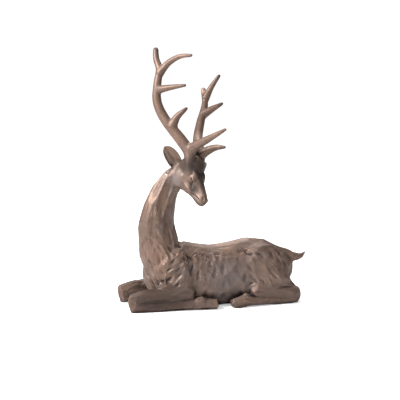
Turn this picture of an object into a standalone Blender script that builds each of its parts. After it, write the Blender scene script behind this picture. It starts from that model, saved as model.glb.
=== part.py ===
"""A lying stag that looks back over its flank, cast in one piece in bronze-coloured resin.

The stag lies along X with its tail towards +X and its left flank towards -Y. Its legs are
folded under it, its neck rises at -X, and its head is turned back by its left side.
The form is given in millimetres of a figure that is NOMINAL_HEIGHT tall, as a modeller
would measure it, and UNIT turns those into metres for the height that is wanted.
"""

import math
from typing import NamedTuple

import bmesh
import bpy
import numpy as np
from mathutils import Matrix, Vector
from mathutils.bvhtree import BVHTree
from mathutils.kdtree import KDTree

# Driving sizes, in metres
FIGURE_HEIGHT = 0.383
NOMINAL_HEIGHT = 383.0
UNIT = FIGURE_HEIGHT / NOMINAL_HEIGHT

# Fineness of the clay in each stage, and how often its surface is stroked smooth
CLAY_VOXEL = 1.7
HEAD_VOXEL = 1.1
CARVED_VOXEL = 1.35
CAST_VOXEL = 1.05
TRUNK_SMOOTHING = 18
LEG_SMOOTHING = 4
HEAD_SMOOTHING = 3
CARVED_SMOOTHING = 2
CAST_SMOOTHING = 1

# Facets of the casting: how many, where the finer head begins, and how much finer it stays
CAST_TRIANGLES = 9600
HEAD_BOTTOM = 148.0
HEAD_THINNING = 0.97

# What stands this little above the floor is pressed down to it
FOOT_FLATNESS = 0.4


class Ring(NamedTuple):
    """One section of a limb: its centre, half width, half depth, and how much its top narrows."""

    x: float
    y: float
    z: float
    wide: float
    deep: float
    taper: float = 0.0


class Lump(NamedTuple):
    """A pellet of clay: an ellipsoid's centre, its three radii and its turn about Y, in degrees."""

    x: float
    y: float
    z: float
    along: float
    across: float
    tall: float
    turn: float = 0.0


class Cut(NamedTuple):
    """A knife cut's half length, half width and depth, and how far it strays from the grain."""

    length: float
    width: float
    depth: float
    slant: float
    stray: float


# The trunk, from the chest to the rump, and the neck, from the chest to the skull
TORSO = (
    Ring(-82, 0, 77, 20, 20),
    Ring(-72, 0, 62, 29, 38, 0.1),
    Ring(-55, 0, 50, 37, 50, 0.2),
    Ring(-30, 0, 46, 39, 49, 0.25),
    Ring(0, 0, 43, 40, 47.5, 0.25),
    Ring(30, 0, 45, 39, 48.5, 0.22),
    Ring(62, 0, 48, 39, 50, 0.2),
    Ring(88, 0, 47, 36, 46, 0.2),
    Ring(107, 0, 46, 29, 37, 0.15),
    Ring(117, 0, 44, 19, 28),
)
NECK = (
    Ring(-63, 0, 56, 28, 27),
    Ring(-75, 0, 80, 30, 32),
    Ring(-79, 0, 99, 28.5, 31),
    Ring(-81, -1, 118, 25.5, 28.5),
    Ring(-80, -3, 134, 23, 26.3),
    Ring(-76, -5, 152, 21, 24.3),
    Ring(-68.5, -7, 170, 19, 22),
    Ring(-59, -9, 187, 17.5, 19),
    Ring(-47, -11, 202, 16, 16),
)
TAIL = (
    Ring(110, 0, 74, 9, 9),
    Ring(124, 0, 69, 9.5, 8),
    Ring(136, 0, 64.5, 9.5, 7),
    Ring(147, 0, 66, 6.5, 4.5),
    Ring(154.5, 0, 72, 2, 1.6),
)

# Muscles laid on the left flank, which the right flank repeats
FLANK_MUSCLES = (
    Lump(-62, -22, 60, 27, 17, 34, 12),
    Lump(-54, -31, 33, 16, 11, 22, -18),
    Lump(79, -21, 50, 42, 21, 42, 0),
    Lump(72, -32, 33, 21, 12, 25, 20),
    Lump(99, -27, 31, 23, 13, 24, -10),
    Lump(-44, -3, 94, 17, 15, 10, 6),
)

# Folded legs of the left side, which the right side repeats
FORELEG = (
    Ring(-40, -36, 28, 12, 15),
    Ring(-62, -38, 25, 11, 12.5),
    Ring(-86, -38, 24, 10, 11),
    Ring(-106, -37, 23, 9.5, 10.5),
    Ring(-126, -36.5, 18.5, 9.5, 10),
)
FORE_CANNON = (
    Ring(-127, -36.5, 10.5, 9.5, 11),
    Ring(-104, -38, 8, 8, 9),
    Ring(-70, -40, 8, 7, 8.5),
    Ring(-38, -42, 8, 7, 8),
    Ring(-24, -43, 9, 8.5, 9.5),
    Ring(-14, -43.5, 7, 7.5, 8.5),
    Ring(-4, -44, 6, 8, 8),
)
HIND_SHANK = (
    Ring(62, -38, 25, 10, 14),
    Ring(86, -37, 23, 9.5, 12),
    Ring(110, -35.5, 19, 8.5, 10.5),
    Ring(127, -34.5, 15, 8, 10),
)
HIND_CANNON = (
    Ring(128, -34.5, 11, 7.5, 11),
    Ring(112, -36, 8, 7, 9),
    Ring(84, -39, 8, 7, 8),
    Ring(58, -42, 8.5, 7, 8),
    Ring(46, -43, 10, 8.5, 10),
    Ring(36, -44, 8.5, 8, 9.5),
    Ring(27, -44.5, 5, 8, 7.5),
)

# The head's frame: its place between the eyes, and how it is turned, tilted and bowed
BROW = (-27.4, -34.0, 194.6)
HEAD_YAW = math.radians(-57)
HEAD_TILT = math.radians(14)
HEAD_BOW = math.radians(53)

# The skull from poll to nose, in the head's frame: x towards the nose, y left, z out of the brow
SKULL = (
    Ring(-33, 0, -8, 11, 15),
    Ring(-24, 0, -10, 14.5, 22, -0.05),
    Ring(-12, 0, -12.5, 15, 23.5, -0.25),
    Ring(0, 0, -10, 13.8, 18.5, -0.3),
    Ring(10, 0, -8, 11.5, 15, -0.15),
    Ring(20, 0, -6.3, 9, 12.3, 0.0),
    Ring(30, 0, -5.2, 7.6, 10.2, 0.05),
    Ring(36, 0, -4.4, 7.4, 8.8, 0.0),
    Ring(39, 0, -4.2, 5.6, 6.6, 0.0),
)
FACE_LUMPS = (
    Lump(-12, -8.5, -20, 17, 7, 15, 10),
    Lump(-7, -11.2, 5.5, 9, 5, 4, 8),
    Lump(0, -12.3, 0, 5.4, 3.4, 4.4, 0),
    Lump(-22, -7, 6, 10, 6, 5, 0),
    Lump(35, -4.2, 0, 5.5, 3.4, 4.2, 0),
    Lump(34, 0, -9.4, 5.5, 5.4, 3.7, 0),
)

# Ears, as a middle line in the head's level frame; each opens towards its own side and forwards
NEAR_EAR = ((-29, -9, 9), (-38, -18, 26), (-50, -27, 41))
FAR_EAR = ((-21, 10, 12), (-22, 22, 21), (-24, 36, 28))
EAR_OPENS = (0.66, 0.75, 0.0)
EAR_HALF_WIDTHS = (4.5, 8.0, 10.0, 10.4, 9.8, 8.2, 4.0)
EAR_HALF_THICKNESS = 2.4
EAR_CUP = 0.42


class Tine(NamedTuple):
    """A branch: its points in the head's level frame, and its radius at the root and the tip."""

    points: tuple
    root: float
    tip: float


NEAR_ANTLER = (
    Tine(((-9, -11, 20), (-13, -13, 38), (-27, -21, 55), (-50, -34, 79), (-64, -43, 103),
          (-67, -46, 128), (-69, -45, 152), (-79, -45, 168), (-83, -45, 182)), 8.4, 1.5),
    Tine(((-13, -12, 41), (3, -14, 50), (24, -16, 60), (55, -18, 76)), 6.4, 1.1),
    Tine(((-40, -29, 70), (-34, -28, 86), (-21, -24, 101)), 5.6, 1.3),
    Tine(((-65, -45, 122), (-45, -42, 127), (-20, -36, 133)), 4.9, 1.1),
    Tine(((-68, -45, 146), (-55, -43, 163), (-36, -41, 174), (-15, -39, 177)), 4.8, 1.1),
)
FAR_ANTLER = (
    Tine(((-9, 10, 20), (-17, 14, 42), (-35, 26, 62), (-49, 42, 91), (-57, 54, 116),
          (-64, 58, 130), (-71, 60, 142)), 8.0, 2.2),
    Tine(((-12, 13, 38), (-2, 15, 45), (12, 16, 51), (30, 16, 53)), 6.0, 1.1),
    Tine(((-53, 48, 101), (-38, 50, 111), (-17, 48, 121)), 5.2, 1.2),
    Tine(((-61, 57, 126), (-56, 61, 146), (-48, 66, 166)), 4.8, 1.3),
)
ANTLER_SIDES = 8
ANTLER_ACROSS = (0.3, 1.0, 0.1)
ANTLER_FULLNESS = 1.6

# The bony stump under each antler, and the burr round the antler's foot
PEDICLE = (Ring(-9, 8.5, 15, 9.0, 9.0), Ring(-10, 10, 23, 9.2, 8.6), Ring(-11, 11.5, 31, 8.6, 8.2))
BURR_RADIUS = 9.6
BURR_HALF_HEIGHT = 3.0
BURR_PLACE = 0.55

# Knife work: how each stretch of the figure is cut
TORSO_CUT = Cut(15, 7, 2.3, 35, 32)
NECK_CUT = Cut(26, 7.0, 1.7, 0, 9)
LEG_CUT = Cut(22, 6.0, 1.2, 0, 10)
HEAD_CUT = Cut(8, 4.5, 0.35, 0, 15)
CUT_DEPTH_RANGE = (0.6, 1.3)
CUT_TIP = 0.45
CUT_TIP_ALONG = 0.3
CUT_REACH = 1.2
CUT_SPACING = 1.6
CUT_THROWS = 6000
CARVING_SEED = 7

# A limb's rounded end: its length as a share of the limb's half width, and the angles of its rings
NOSE_LENGTH = 0.8
NOSE_ANGLES = (30, 55, 75)

# Rings to each stretch of a limb, and sides to a round limb and a thick one
LIMB_STEPS = 4
LIMB_SIDES = 16
TRUNK_SIDES = 32

# Where a limb points this nearly straight out of the surface, the knife has no grain to follow
FACING_END = 0.2
GRAIN_NEIGHBOURS = 6


def spline(rows, steps):
    """Returns a smooth run of rows through the given ones, with steps rows to each stretch."""
    rows = np.array(rows, float)
    ends = np.vstack([2 * rows[0] - rows[1], rows, 2 * rows[-1] - rows[-2]])
    out = []
    for i in range(1, len(ends) - 2):
        a, b, c, d = ends[i - 1 : i + 3]
        for t in np.arange(steps) / steps:
            out.append(
                0.5 * (2 * b + (c - a) * t + (2 * a - 5 * b + 4 * c - d) * t**2
                       + (3 * b - a - 3 * c + d) * t**3)
            )
    out.append(rows[-1])
    return np.array(out)


def rounded_ends(rows):
    """Adds shrinking rings past both ends of a limb, so that it closes in a round nose."""
    out = [row for row in rows]
    for end, step in ((0, 1), (-1, -1)):
        tip, back = rows[end], rows[end + step]
        away = tip[:3] - back[:3]
        away = away / np.linalg.norm(away)
        reach = min(tip[3], tip[4]) * NOSE_LENGTH
        caps = []
        for angle in np.radians(NOSE_ANGLES):
            cap = tip.copy()
            cap[:3] = tip[:3] + away * reach * math.sin(angle)
            cap[3:5] = tip[3:5] * math.cos(angle)
            caps.append(cap)
        out = caps[::-1] + out if end == 0 else out + caps
    return np.array(out)


def add_limb(shape, rings, sides=LIMB_SIDES, steps=LIMB_STEPS, across=(0, 1, 0)):
    """Adds a closed loft through the rings to a bmesh, in millimetres."""
    rows = rounded_ends(spline(rings, steps))
    tangents = np.gradient(rows[:, :3], axis=0)
    loops = []
    for row, tangent in zip(rows, tangents):
        along = Vector(tangent).normalized()
        wide = Vector(across)
        wide = (wide - along * wide.dot(along)).normalized()
        deep = along.cross(wide)
        loop = []
        for k in range(sides):
            angle = 2 * math.pi * k / sides
            spread = row[3] * math.cos(angle) * (1 - row[5] * math.sin(angle))
            point = Vector(row[:3]) + wide * spread + deep * row[4] * math.sin(angle)
            loop.append(shape.verts.new(point))
        loops.append(loop)
    close_loft(shape, loops)


def close_loft(shape, loops):
    """Skins a run of vertex loops with quads and closes both ends."""
    sides = len(loops[0])
    for first, second in zip(loops, loops[1:]):
        for k in range(sides):
            n = (k + 1) % sides
            shape.faces.new((first[k], first[n], second[n], second[k]))
    shape.faces.new(loops[0][::-1])
    shape.faces.new(loops[-1])


def add_lump(shape, lump):
    """Adds an ellipsoid to a bmesh, in millimetres."""
    place = (
        Matrix.Translation((lump.x, lump.y, lump.z))
        @ Matrix.Rotation(math.radians(lump.turn), 4, "Y")
        @ Matrix.Diagonal((lump.along, lump.across, lump.tall, 1))
    )
    bmesh.ops.create_uvsphere(shape, u_segments=20, v_segments=12, radius=1, matrix=place)


def mirrored(item):
    """Returns the same ring or lump on the right flank."""
    return item._replace(y=-item.y)


def head_matrix(bowed):
    """Returns the head's frame, level or bowed, as a matrix in millimetres."""
    turn = Matrix.Rotation(HEAD_YAW, 4, "Z") @ Matrix.Rotation(-HEAD_TILT, 4, "X")
    bow = Matrix.Rotation(HEAD_BOW, 4, "Y") if bowed else Matrix.Identity(4)
    return Matrix.Translation(BROW) @ turn @ bow


def mesh_of(shape, name):
    """Turns a bmesh into a mesh object with its faces pointing out."""
    bmesh.ops.recalc_face_normals(shape, faces=shape.faces)
    mesh = bpy.data.meshes.new(name)
    shape.to_mesh(mesh)
    shape.free()
    piece = bpy.data.objects.new(name, mesh)
    bpy.context.scene.collection.objects.link(piece)
    return piece


def baked(piece):
    """Applies an object's modifiers to its mesh."""
    graph = bpy.context.evaluated_depsgraph_get()
    graph.update()
    mesh = bpy.data.meshes.new_from_object(piece.evaluated_get(graph))
    piece.modifiers.clear()
    old = piece.data
    piece.data = mesh
    bpy.data.meshes.remove(old)
    return piece


def kneaded(piece, voxel, smoothing):
    """Fuses overlapping shapes into one skin and softens the creases between them."""
    fuse = piece.modifiers.new("Fuse", "REMESH")
    fuse.mode = "VOXEL"
    fuse.voxel_size = voxel
    if smoothing:
        soften = piece.modifiers.new("Soften", "SMOOTH")
        soften.factor = 0.5
        soften.iterations = smoothing
    return baked(piece)


def trunk_clay():
    """Models the trunk with its muscles, the neck and the tail."""
    shape = bmesh.new()
    add_limb(shape, TORSO, sides=TRUNK_SIDES)
    add_limb(shape, NECK, sides=TRUNK_SIDES)
    add_limb(shape, TAIL)
    for muscle in FLANK_MUSCLES:
        add_lump(shape, muscle)
        add_lump(shape, mirrored(muscle))
    return kneaded(mesh_of(shape, "trunk_clay"), CLAY_VOXEL, TRUNK_SMOOTHING)


def leg_clay():
    """Models the four folded legs."""
    shape = bmesh.new()
    for leg in (FORELEG, FORE_CANNON, HIND_SHANK, HIND_CANNON):
        add_limb(shape, leg)
        add_limb(shape, [mirrored(ring) for ring in leg])
    return kneaded(mesh_of(shape, "leg_clay"), CLAY_VOXEL, LEG_SMOOTHING)


def head_clay():
    """Models the skull and the forms of the face."""
    shape = bmesh.new()
    add_limb(shape, SKULL, sides=TRUNK_SIDES)
    for lump in FACE_LUMPS:
        add_lump(shape, lump)
        if lump.y:
            add_lump(shape, mirrored(lump))
    shape.transform(head_matrix(bowed=True))
    level = bmesh.new()
    add_limb(level, PEDICLE)
    add_limb(level, [mirrored(ring) for ring in PEDICLE])
    level.transform(head_matrix(bowed=False))
    pieces = [mesh_of(shape, "skull"), mesh_of(level, "pedicles")]
    return kneaded(joined(pieces, "head_clay"), HEAD_VOXEL, HEAD_SMOOTHING)


def add_ear(shape, points, side):
    """Adds one cupped, leaf-shaped ear in the head's level frame, opening towards its side."""
    path = spline(points, (len(EAR_HALF_WIDTHS) - 1) // (len(points) - 1))
    opens = Vector((EAR_OPENS[0], side * EAR_OPENS[1], EAR_OPENS[2]))
    tangents = np.gradient(path, axis=0)
    loops = []
    for point, tangent, half in zip(path, tangents, EAR_HALF_WIDTHS):
        along = Vector(tangent).normalized()
        wide = along.cross(opens).normalized()
        face = wide.cross(along)
        loop = []
        for k in range(LIMB_SIDES):
            angle = 2 * math.pi * k / LIMB_SIDES
            lift = EAR_HALF_THICKNESS * math.sin(angle) + EAR_CUP * half * math.cos(angle) ** 2
            loop.append(shape.verts.new(Vector(point) + wide * half * math.cos(angle) + face * lift))
        loops.append(loop)
    close_loft(shape, loops)


def add_tine(shape, tine):
    """Adds one antler branch in the head's level frame."""
    path = spline(tine.points, LIMB_STEPS)
    share = np.linspace(0, 1, len(path))
    radius = tine.tip + (tine.root - tine.tip) * (1 - share**ANTLER_FULLNESS)
    rings = [Ring(*point, r, r) for point, r in zip(path, radius)]
    add_limb(shape, rings, sides=ANTLER_SIDES, steps=1, across=ANTLER_ACROSS)


def antlers_and_ears():
    """Models both antlers with their burrs, and both ears."""
    shape = bmesh.new()
    for antler in (NEAR_ANTLER, FAR_ANTLER):
        for tine in antler:
            add_tine(shape, tine)
        base, above = Vector(antler[0].points[0]), Vector(antler[0].points[1])
        middle = base.lerp(above, BURR_PLACE)
        add_lump(shape, Lump(*middle, BURR_RADIUS, BURR_RADIUS, BURR_HALF_HEIGHT))
    add_ear(shape, NEAR_EAR, -1)
    add_ear(shape, FAR_EAR, 1)
    shape.transform(head_matrix(bowed=False))
    return mesh_of(shape, "antlers_and_ears")


def paths():
    """Lists points along every limb with their direction and the cut that suits them."""
    bowed = head_matrix(bowed=True)
    found = []
    limbs = [(TORSO, TORSO_CUT, None), (NECK, NECK_CUT, None), (TAIL, LEG_CUT, None),
             (SKULL, HEAD_CUT, bowed)]
    for leg in (FORELEG, FORE_CANNON, HIND_SHANK, HIND_CANNON):
        limbs.append((leg, LEG_CUT, None))
        limbs.append(([mirrored(ring) for ring in leg], LEG_CUT, None))
    for rings, cut, frame in limbs:
        rows = spline(rings, LIMB_STEPS)
        points = [Vector(row[:3]) for row in rows]
        if frame:
            points = [frame @ point for point in points]
        for before, after, row in zip(points, points[1:], rows):
            found.append((before, (after - before).normalized(), cut, min(row[3], row[4])))
    return found


def grain_at(point, normal, samples, tree, dice):
    """Returns the directions along and across a knife cut on the surface, and the cut."""
    hits = tree.find_n(point, GRAIN_NEIGHBOURS)
    nearest = min(hits, key=lambda hit: hit[2] / samples[hit[1]][3])
    _, direction, cut, _ = samples[nearest[1]]
    across = np.cross(normal, direction)
    size = np.linalg.norm(across)
    if size < FACING_END:
        return None
    across /= size
    along = np.cross(across, normal)
    side = 1.0 if normal[1] < 0 else -1.0
    swing = math.radians(side * cut.slant + dice.uniform(-cut.stray, cut.stray))
    along = math.cos(swing) * along + math.sin(swing) * across
    return along, np.cross(normal, along), cut


def planned_cuts(piece, dice):
    """Throws cuts at the surface and keeps those that don't crowd one already there."""
    shape = bmesh.new()
    shape.from_mesh(piece.data)
    skin = BVHTree.FromBMesh(shape)
    shape.free()
    samples = paths()
    tree = KDTree(len(samples))
    for i, sample in enumerate(samples):
        tree.insert(sample[0], i)
    tree.balance()
    low, high = np.min(piece.bound_box, axis=0), np.max(piece.bound_box, axis=0)
    cuts, centres = [], np.empty((0, 3))
    for _ in range(CUT_THROWS):
        place, normal, _, _ = skin.find_nearest(Vector(dice.uniform(low, high)))
        grain = grain_at(place, np.array(normal), samples, tree, dice)
        if grain is None:
            continue
        along, across, cut = grain
        gaps = centres - np.array(place)
        spread = (gaps @ along / cut.length) ** 2 + (gaps @ across / cut.width) ** 2
        spread += (gaps @ np.array(normal) / cut.width) ** 2
        if len(cuts) and spread.min() < CUT_SPACING:
            continue
        centres = np.vstack([centres, place])
        depth = cut.depth * dice.uniform(*CUT_DEPTH_RANGE)
        cuts.append((np.array(place), np.array(normal), along, across, cut, depth,
                     dice.uniform(-1, 1) * CUT_TIP * depth))
    return cuts


def carve(piece):
    """Cuts shallow overlapping scoops into the surface, as a knife does, along the grain."""
    mesh = piece.data
    points = np.empty(len(mesh.vertices) * 3, np.float32)
    normals = np.empty(len(mesh.vertices) * 3, np.float32)
    mesh.vertices.foreach_get("co", points)
    mesh.vertex_normals.foreach_get("vector", normals)
    points = points.reshape(-1, 3).astype(float)
    normals = normals.reshape(-1, 3).astype(float)
    lowered = np.zeros(len(points))
    for place, normal, along, across, cut, depth, tip in planned_cuts(
        piece, np.random.default_rng(CARVING_SEED)
    ):
        gaps = points - place
        a, b = gaps @ along / cut.length, gaps @ across / cut.width
        dip = -depth * (1 - a * a - b * b) + tip * (b + CUT_TIP_ALONG * a)
        dip[np.abs(gaps @ normal) > cut.width * CUT_REACH] = 0
        lowered = np.minimum(lowered, dip)
    points += normals * lowered[:, None]
    mesh.vertices.foreach_set("co", points.astype(np.float32).ravel())
    mesh.update()
    return piece


def joined(pieces, name):
    """Puts several objects' meshes into one object."""
    shape = bmesh.new()
    for piece in pieces:
        shape.from_mesh(piece.data)
        bpy.data.objects.remove(piece)
    return mesh_of(shape, name)


def flat_underneath(piece):
    """Cuts the figure off flat at the floor, and closes it there."""
    shape = bmesh.new()
    shape.from_mesh(piece.data)
    everything = shape.verts[:] + shape.edges[:] + shape.faces[:]
    cut = bmesh.ops.bisect_plane(
        shape, geom=everything, plane_co=(0, 0, 0), plane_no=(0, 0, -1), clear_outer=True
    )
    rim = [item for item in cut["geom_cut"] if isinstance(item, bmesh.types.BMEdge)]
    bmesh.ops.triangle_fill(shape, edges=rim, use_beauty=True)
    bmesh.ops.recalc_face_normals(shape, faces=shape.faces)
    shape.to_mesh(piece.data)
    shape.free()
    return piece


def thinned(piece):
    """Brings the casting down to its share of triangles, with the head and antlers kept finer."""
    group = piece.vertex_groups.new(name="thinning")
    low = [v.index for v in piece.data.vertices if v.co.z < HEAD_BOTTOM]
    high = [v.index for v in piece.data.vertices if v.co.z >= HEAD_BOTTOM]
    group.add(low, 1.0, "REPLACE")
    group.add(high, HEAD_THINNING, "REPLACE")
    thin = piece.modifiers.new("Thin", "DECIMATE")
    thin.vertex_group = group.name
    thin.vertex_group_factor = 1.0
    thin.ratio = CAST_TRIANGLES / sum(len(face.vertices) - 2 for face in piece.data.polygons)
    baked(piece)
    piece.vertex_groups.clear()
    return piece


def settled(piece):
    """Presses the underside flat and centres the figure over the origin."""
    mesh = piece.data
    for vertex in mesh.vertices:
        if vertex.co.z < FOOT_FLATNESS:
            vertex.co.z = 0.0
    corners = np.array([vertex.co for vertex in mesh.vertices])
    middle = (corners.min(axis=0) + corners.max(axis=0)) / 2
    mesh.transform(Matrix.Translation((-middle[0], -middle[1], 0)))
    return piece


def bronze_resin():
    """Makes the resin's bronze-coloured finish."""
    finish = bpy.data.materials.new("bronze_resin")
    finish.use_nodes = True
    shader = finish.node_tree.nodes["Principled BSDF"]
    shader.inputs["Base Color"].default_value = (0.19, 0.12, 0.09, 1)
    shader.inputs["Metallic"].default_value = 0.45
    shader.inputs["Roughness"].default_value = 0.45
    return finish


def build():
    """Models the stag and leaves it as one object, with its floor at zero."""
    for old in list(bpy.data.objects):
        bpy.data.objects.remove(old)
    clay = joined([trunk_clay(), leg_clay(), head_clay()], "clay")
    carve(kneaded(clay, CARVED_VOXEL, CARVED_SMOOTHING))
    stag = joined([clay, antlers_and_ears()], "deer")
    flat_underneath(kneaded(stag, CAST_VOXEL, CAST_SMOOTHING))
    settled(thinned(stag))
    stag.data.transform(Matrix.Scale(UNIT, 4))
    stag.data.materials.append(bronze_resin())
    collection = bpy.data.collections.new("stag_figurine")
    bpy.context.scene.collection.children.link(collection)
    bpy.context.scene.collection.objects.unlink(stag)
    collection.objects.link(stag)


build()
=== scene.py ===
"""A lying stag in bronze-coloured resin, carved and rubbed as the cast figurine is.

The figure is modelled in clay by its sub-assemblies, in millimetres of the CAD's clay frame,
fused into one skin, cut with a knife, and then set into the CAD's box.
"""

import logging
import math
from dataclasses import dataclass, field
from enum import Enum
from typing import NamedTuple, Sequence

import bmesh
import bpy
import numpy as np
from mathutils import Matrix, Vector
from mathutils.bvhtree import BVHTree
from mathutils.kdtree import KDTree


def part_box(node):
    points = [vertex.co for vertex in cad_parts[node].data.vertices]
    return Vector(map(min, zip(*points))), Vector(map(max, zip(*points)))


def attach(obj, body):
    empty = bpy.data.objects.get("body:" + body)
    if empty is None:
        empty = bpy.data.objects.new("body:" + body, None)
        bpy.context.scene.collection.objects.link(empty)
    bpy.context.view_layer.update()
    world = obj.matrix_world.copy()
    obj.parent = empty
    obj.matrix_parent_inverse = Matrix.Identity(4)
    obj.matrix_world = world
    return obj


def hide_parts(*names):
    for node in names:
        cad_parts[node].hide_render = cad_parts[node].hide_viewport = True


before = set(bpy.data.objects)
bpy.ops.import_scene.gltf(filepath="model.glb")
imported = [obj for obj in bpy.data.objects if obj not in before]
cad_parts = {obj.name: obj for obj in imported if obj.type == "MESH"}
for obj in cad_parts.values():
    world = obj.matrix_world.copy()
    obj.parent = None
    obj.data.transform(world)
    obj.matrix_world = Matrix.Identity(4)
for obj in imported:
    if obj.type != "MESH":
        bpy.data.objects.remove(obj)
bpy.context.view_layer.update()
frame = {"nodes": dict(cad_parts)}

NODE = "deer"
BODY = "root"
SLOT = "bronzed_resin"
MILLIMETRE = 0.001
SIDES = (1, -1)
WHITE = (1.0, 1.0, 1.0, 1.0)

# What the layers of tint and warmth hold where the paint is left as it is
NEUTRAL = 0.5

# The middle of a noise's values
NOISE_LEVEL = 0.5

# Where the middle of the CAD's box lies in the clay frame, in millimetres
CLAY_MIDDLE = (8.929, -0.972)

log = logging.getLogger("stag")


class Ring(NamedTuple):
    """One section of a limb: centre, half width, half depth, and how much its top narrows."""

    x: float
    y: float
    z: float
    wide: float
    deep: float
    taper: float = 0.0


class Lump(NamedTuple):
    """A pellet of clay: an ellipsoid's centre, three radii, and its turn about Y in degrees."""

    x: float
    y: float
    z: float
    along: float
    across: float
    tall: float
    turn: float = 0.0


class Branch(NamedTuple):
    """An antler's branch: points in the head's level frame, and its radius at root and tip."""

    points: tuple
    root: float
    tip: float


def mirrored(item: "Ring | Lump") -> "Ring | Lump":
    """Returns the same ring or lump on the other flank."""
    return item._replace(y=-item.y)


def on_side(point: Sequence[float], side: int) -> tuple:
    """Returns a point as it lies on the left flank, or on the right one where side is minus one."""
    return point[0], side * point[1], point[2]


def in_frame(points: np.ndarray, place: Matrix) -> np.ndarray:
    """Returns points of the clay frame as the frame at a place gives them."""
    back = place.inverted()
    return points @ np.array(back.to_3x3()).T + np.array(back.translation)


def smooth_run(rows: Sequence, steps: int) -> np.ndarray:
    """Runs a smooth curve through rows of numbers.

    Args:
        rows: The rows that the curve passes through.
        steps: How many rows each stretch is given.

    Returns:
        The rows along the curve, the given ones among them.
    """
    rows = np.array(rows, float)
    ends = np.vstack([2 * rows[0] - rows[1], rows, 2 * rows[-1] - rows[-2]])
    out = []
    for a, b, c, d in zip(ends, ends[1:], ends[2:], ends[3:]):
        for t in np.arange(steps) / steps:
            out.append(0.5 * (2 * b + (c - a) * t + (2 * a - 5 * b + 4 * c - d) * t**2
                              + (3 * b - a - 3 * c + d) * t**3))
    out.append(rows[-1])
    return np.array(out)


def applied(piece: bpy.types.Object) -> bpy.types.Object:
    """Turns an object's modifiers into its plain mesh.

    Args:
        piece: The object to finish.

    Returns:
        The same object, with no modifiers.
    """
    graph = bpy.context.evaluated_depsgraph_get()
    graph.update()
    mesh = bpy.data.meshes.new_from_object(piece.evaluated_get(graph))
    piece.modifiers.clear()
    old, piece.data = piece.data, mesh
    bpy.data.meshes.remove(old)
    return piece


def kneaded(piece: bpy.types.Object, voxel: float, smoothing: int) -> bpy.types.Object:
    """Fuses overlapping shapes into one skin and strokes the creases between them.

    Args:
        piece: The object with the overlapping shapes.
        voxel: The fineness of the skin, in the mesh's own unit.
        smoothing: How often the skin is stroked smooth.

    Returns:
        The same object with one skin.
    """
    fuse = piece.modifiers.new("Fuse", "REMESH")
    fuse.mode = "VOXEL"
    fuse.voxel_size = voxel
    soften = piece.modifiers.new("Soften", "SMOOTH")
    soften.factor = 0.5
    soften.iterations = smoothing
    return applied(piece)


def joined(pieces: Sequence[bpy.types.Object], name: str) -> bpy.types.Object:
    """Puts several objects' meshes into one new object.

    Args:
        pieces: The objects, which are removed.
        name: The new object's name.

    Returns:
        The new object.
    """
    clay = Clay()
    for piece in pieces:
        clay.shape.from_mesh(piece.data)
        bpy.data.objects.remove(piece)
    return clay.piece(name)


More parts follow.
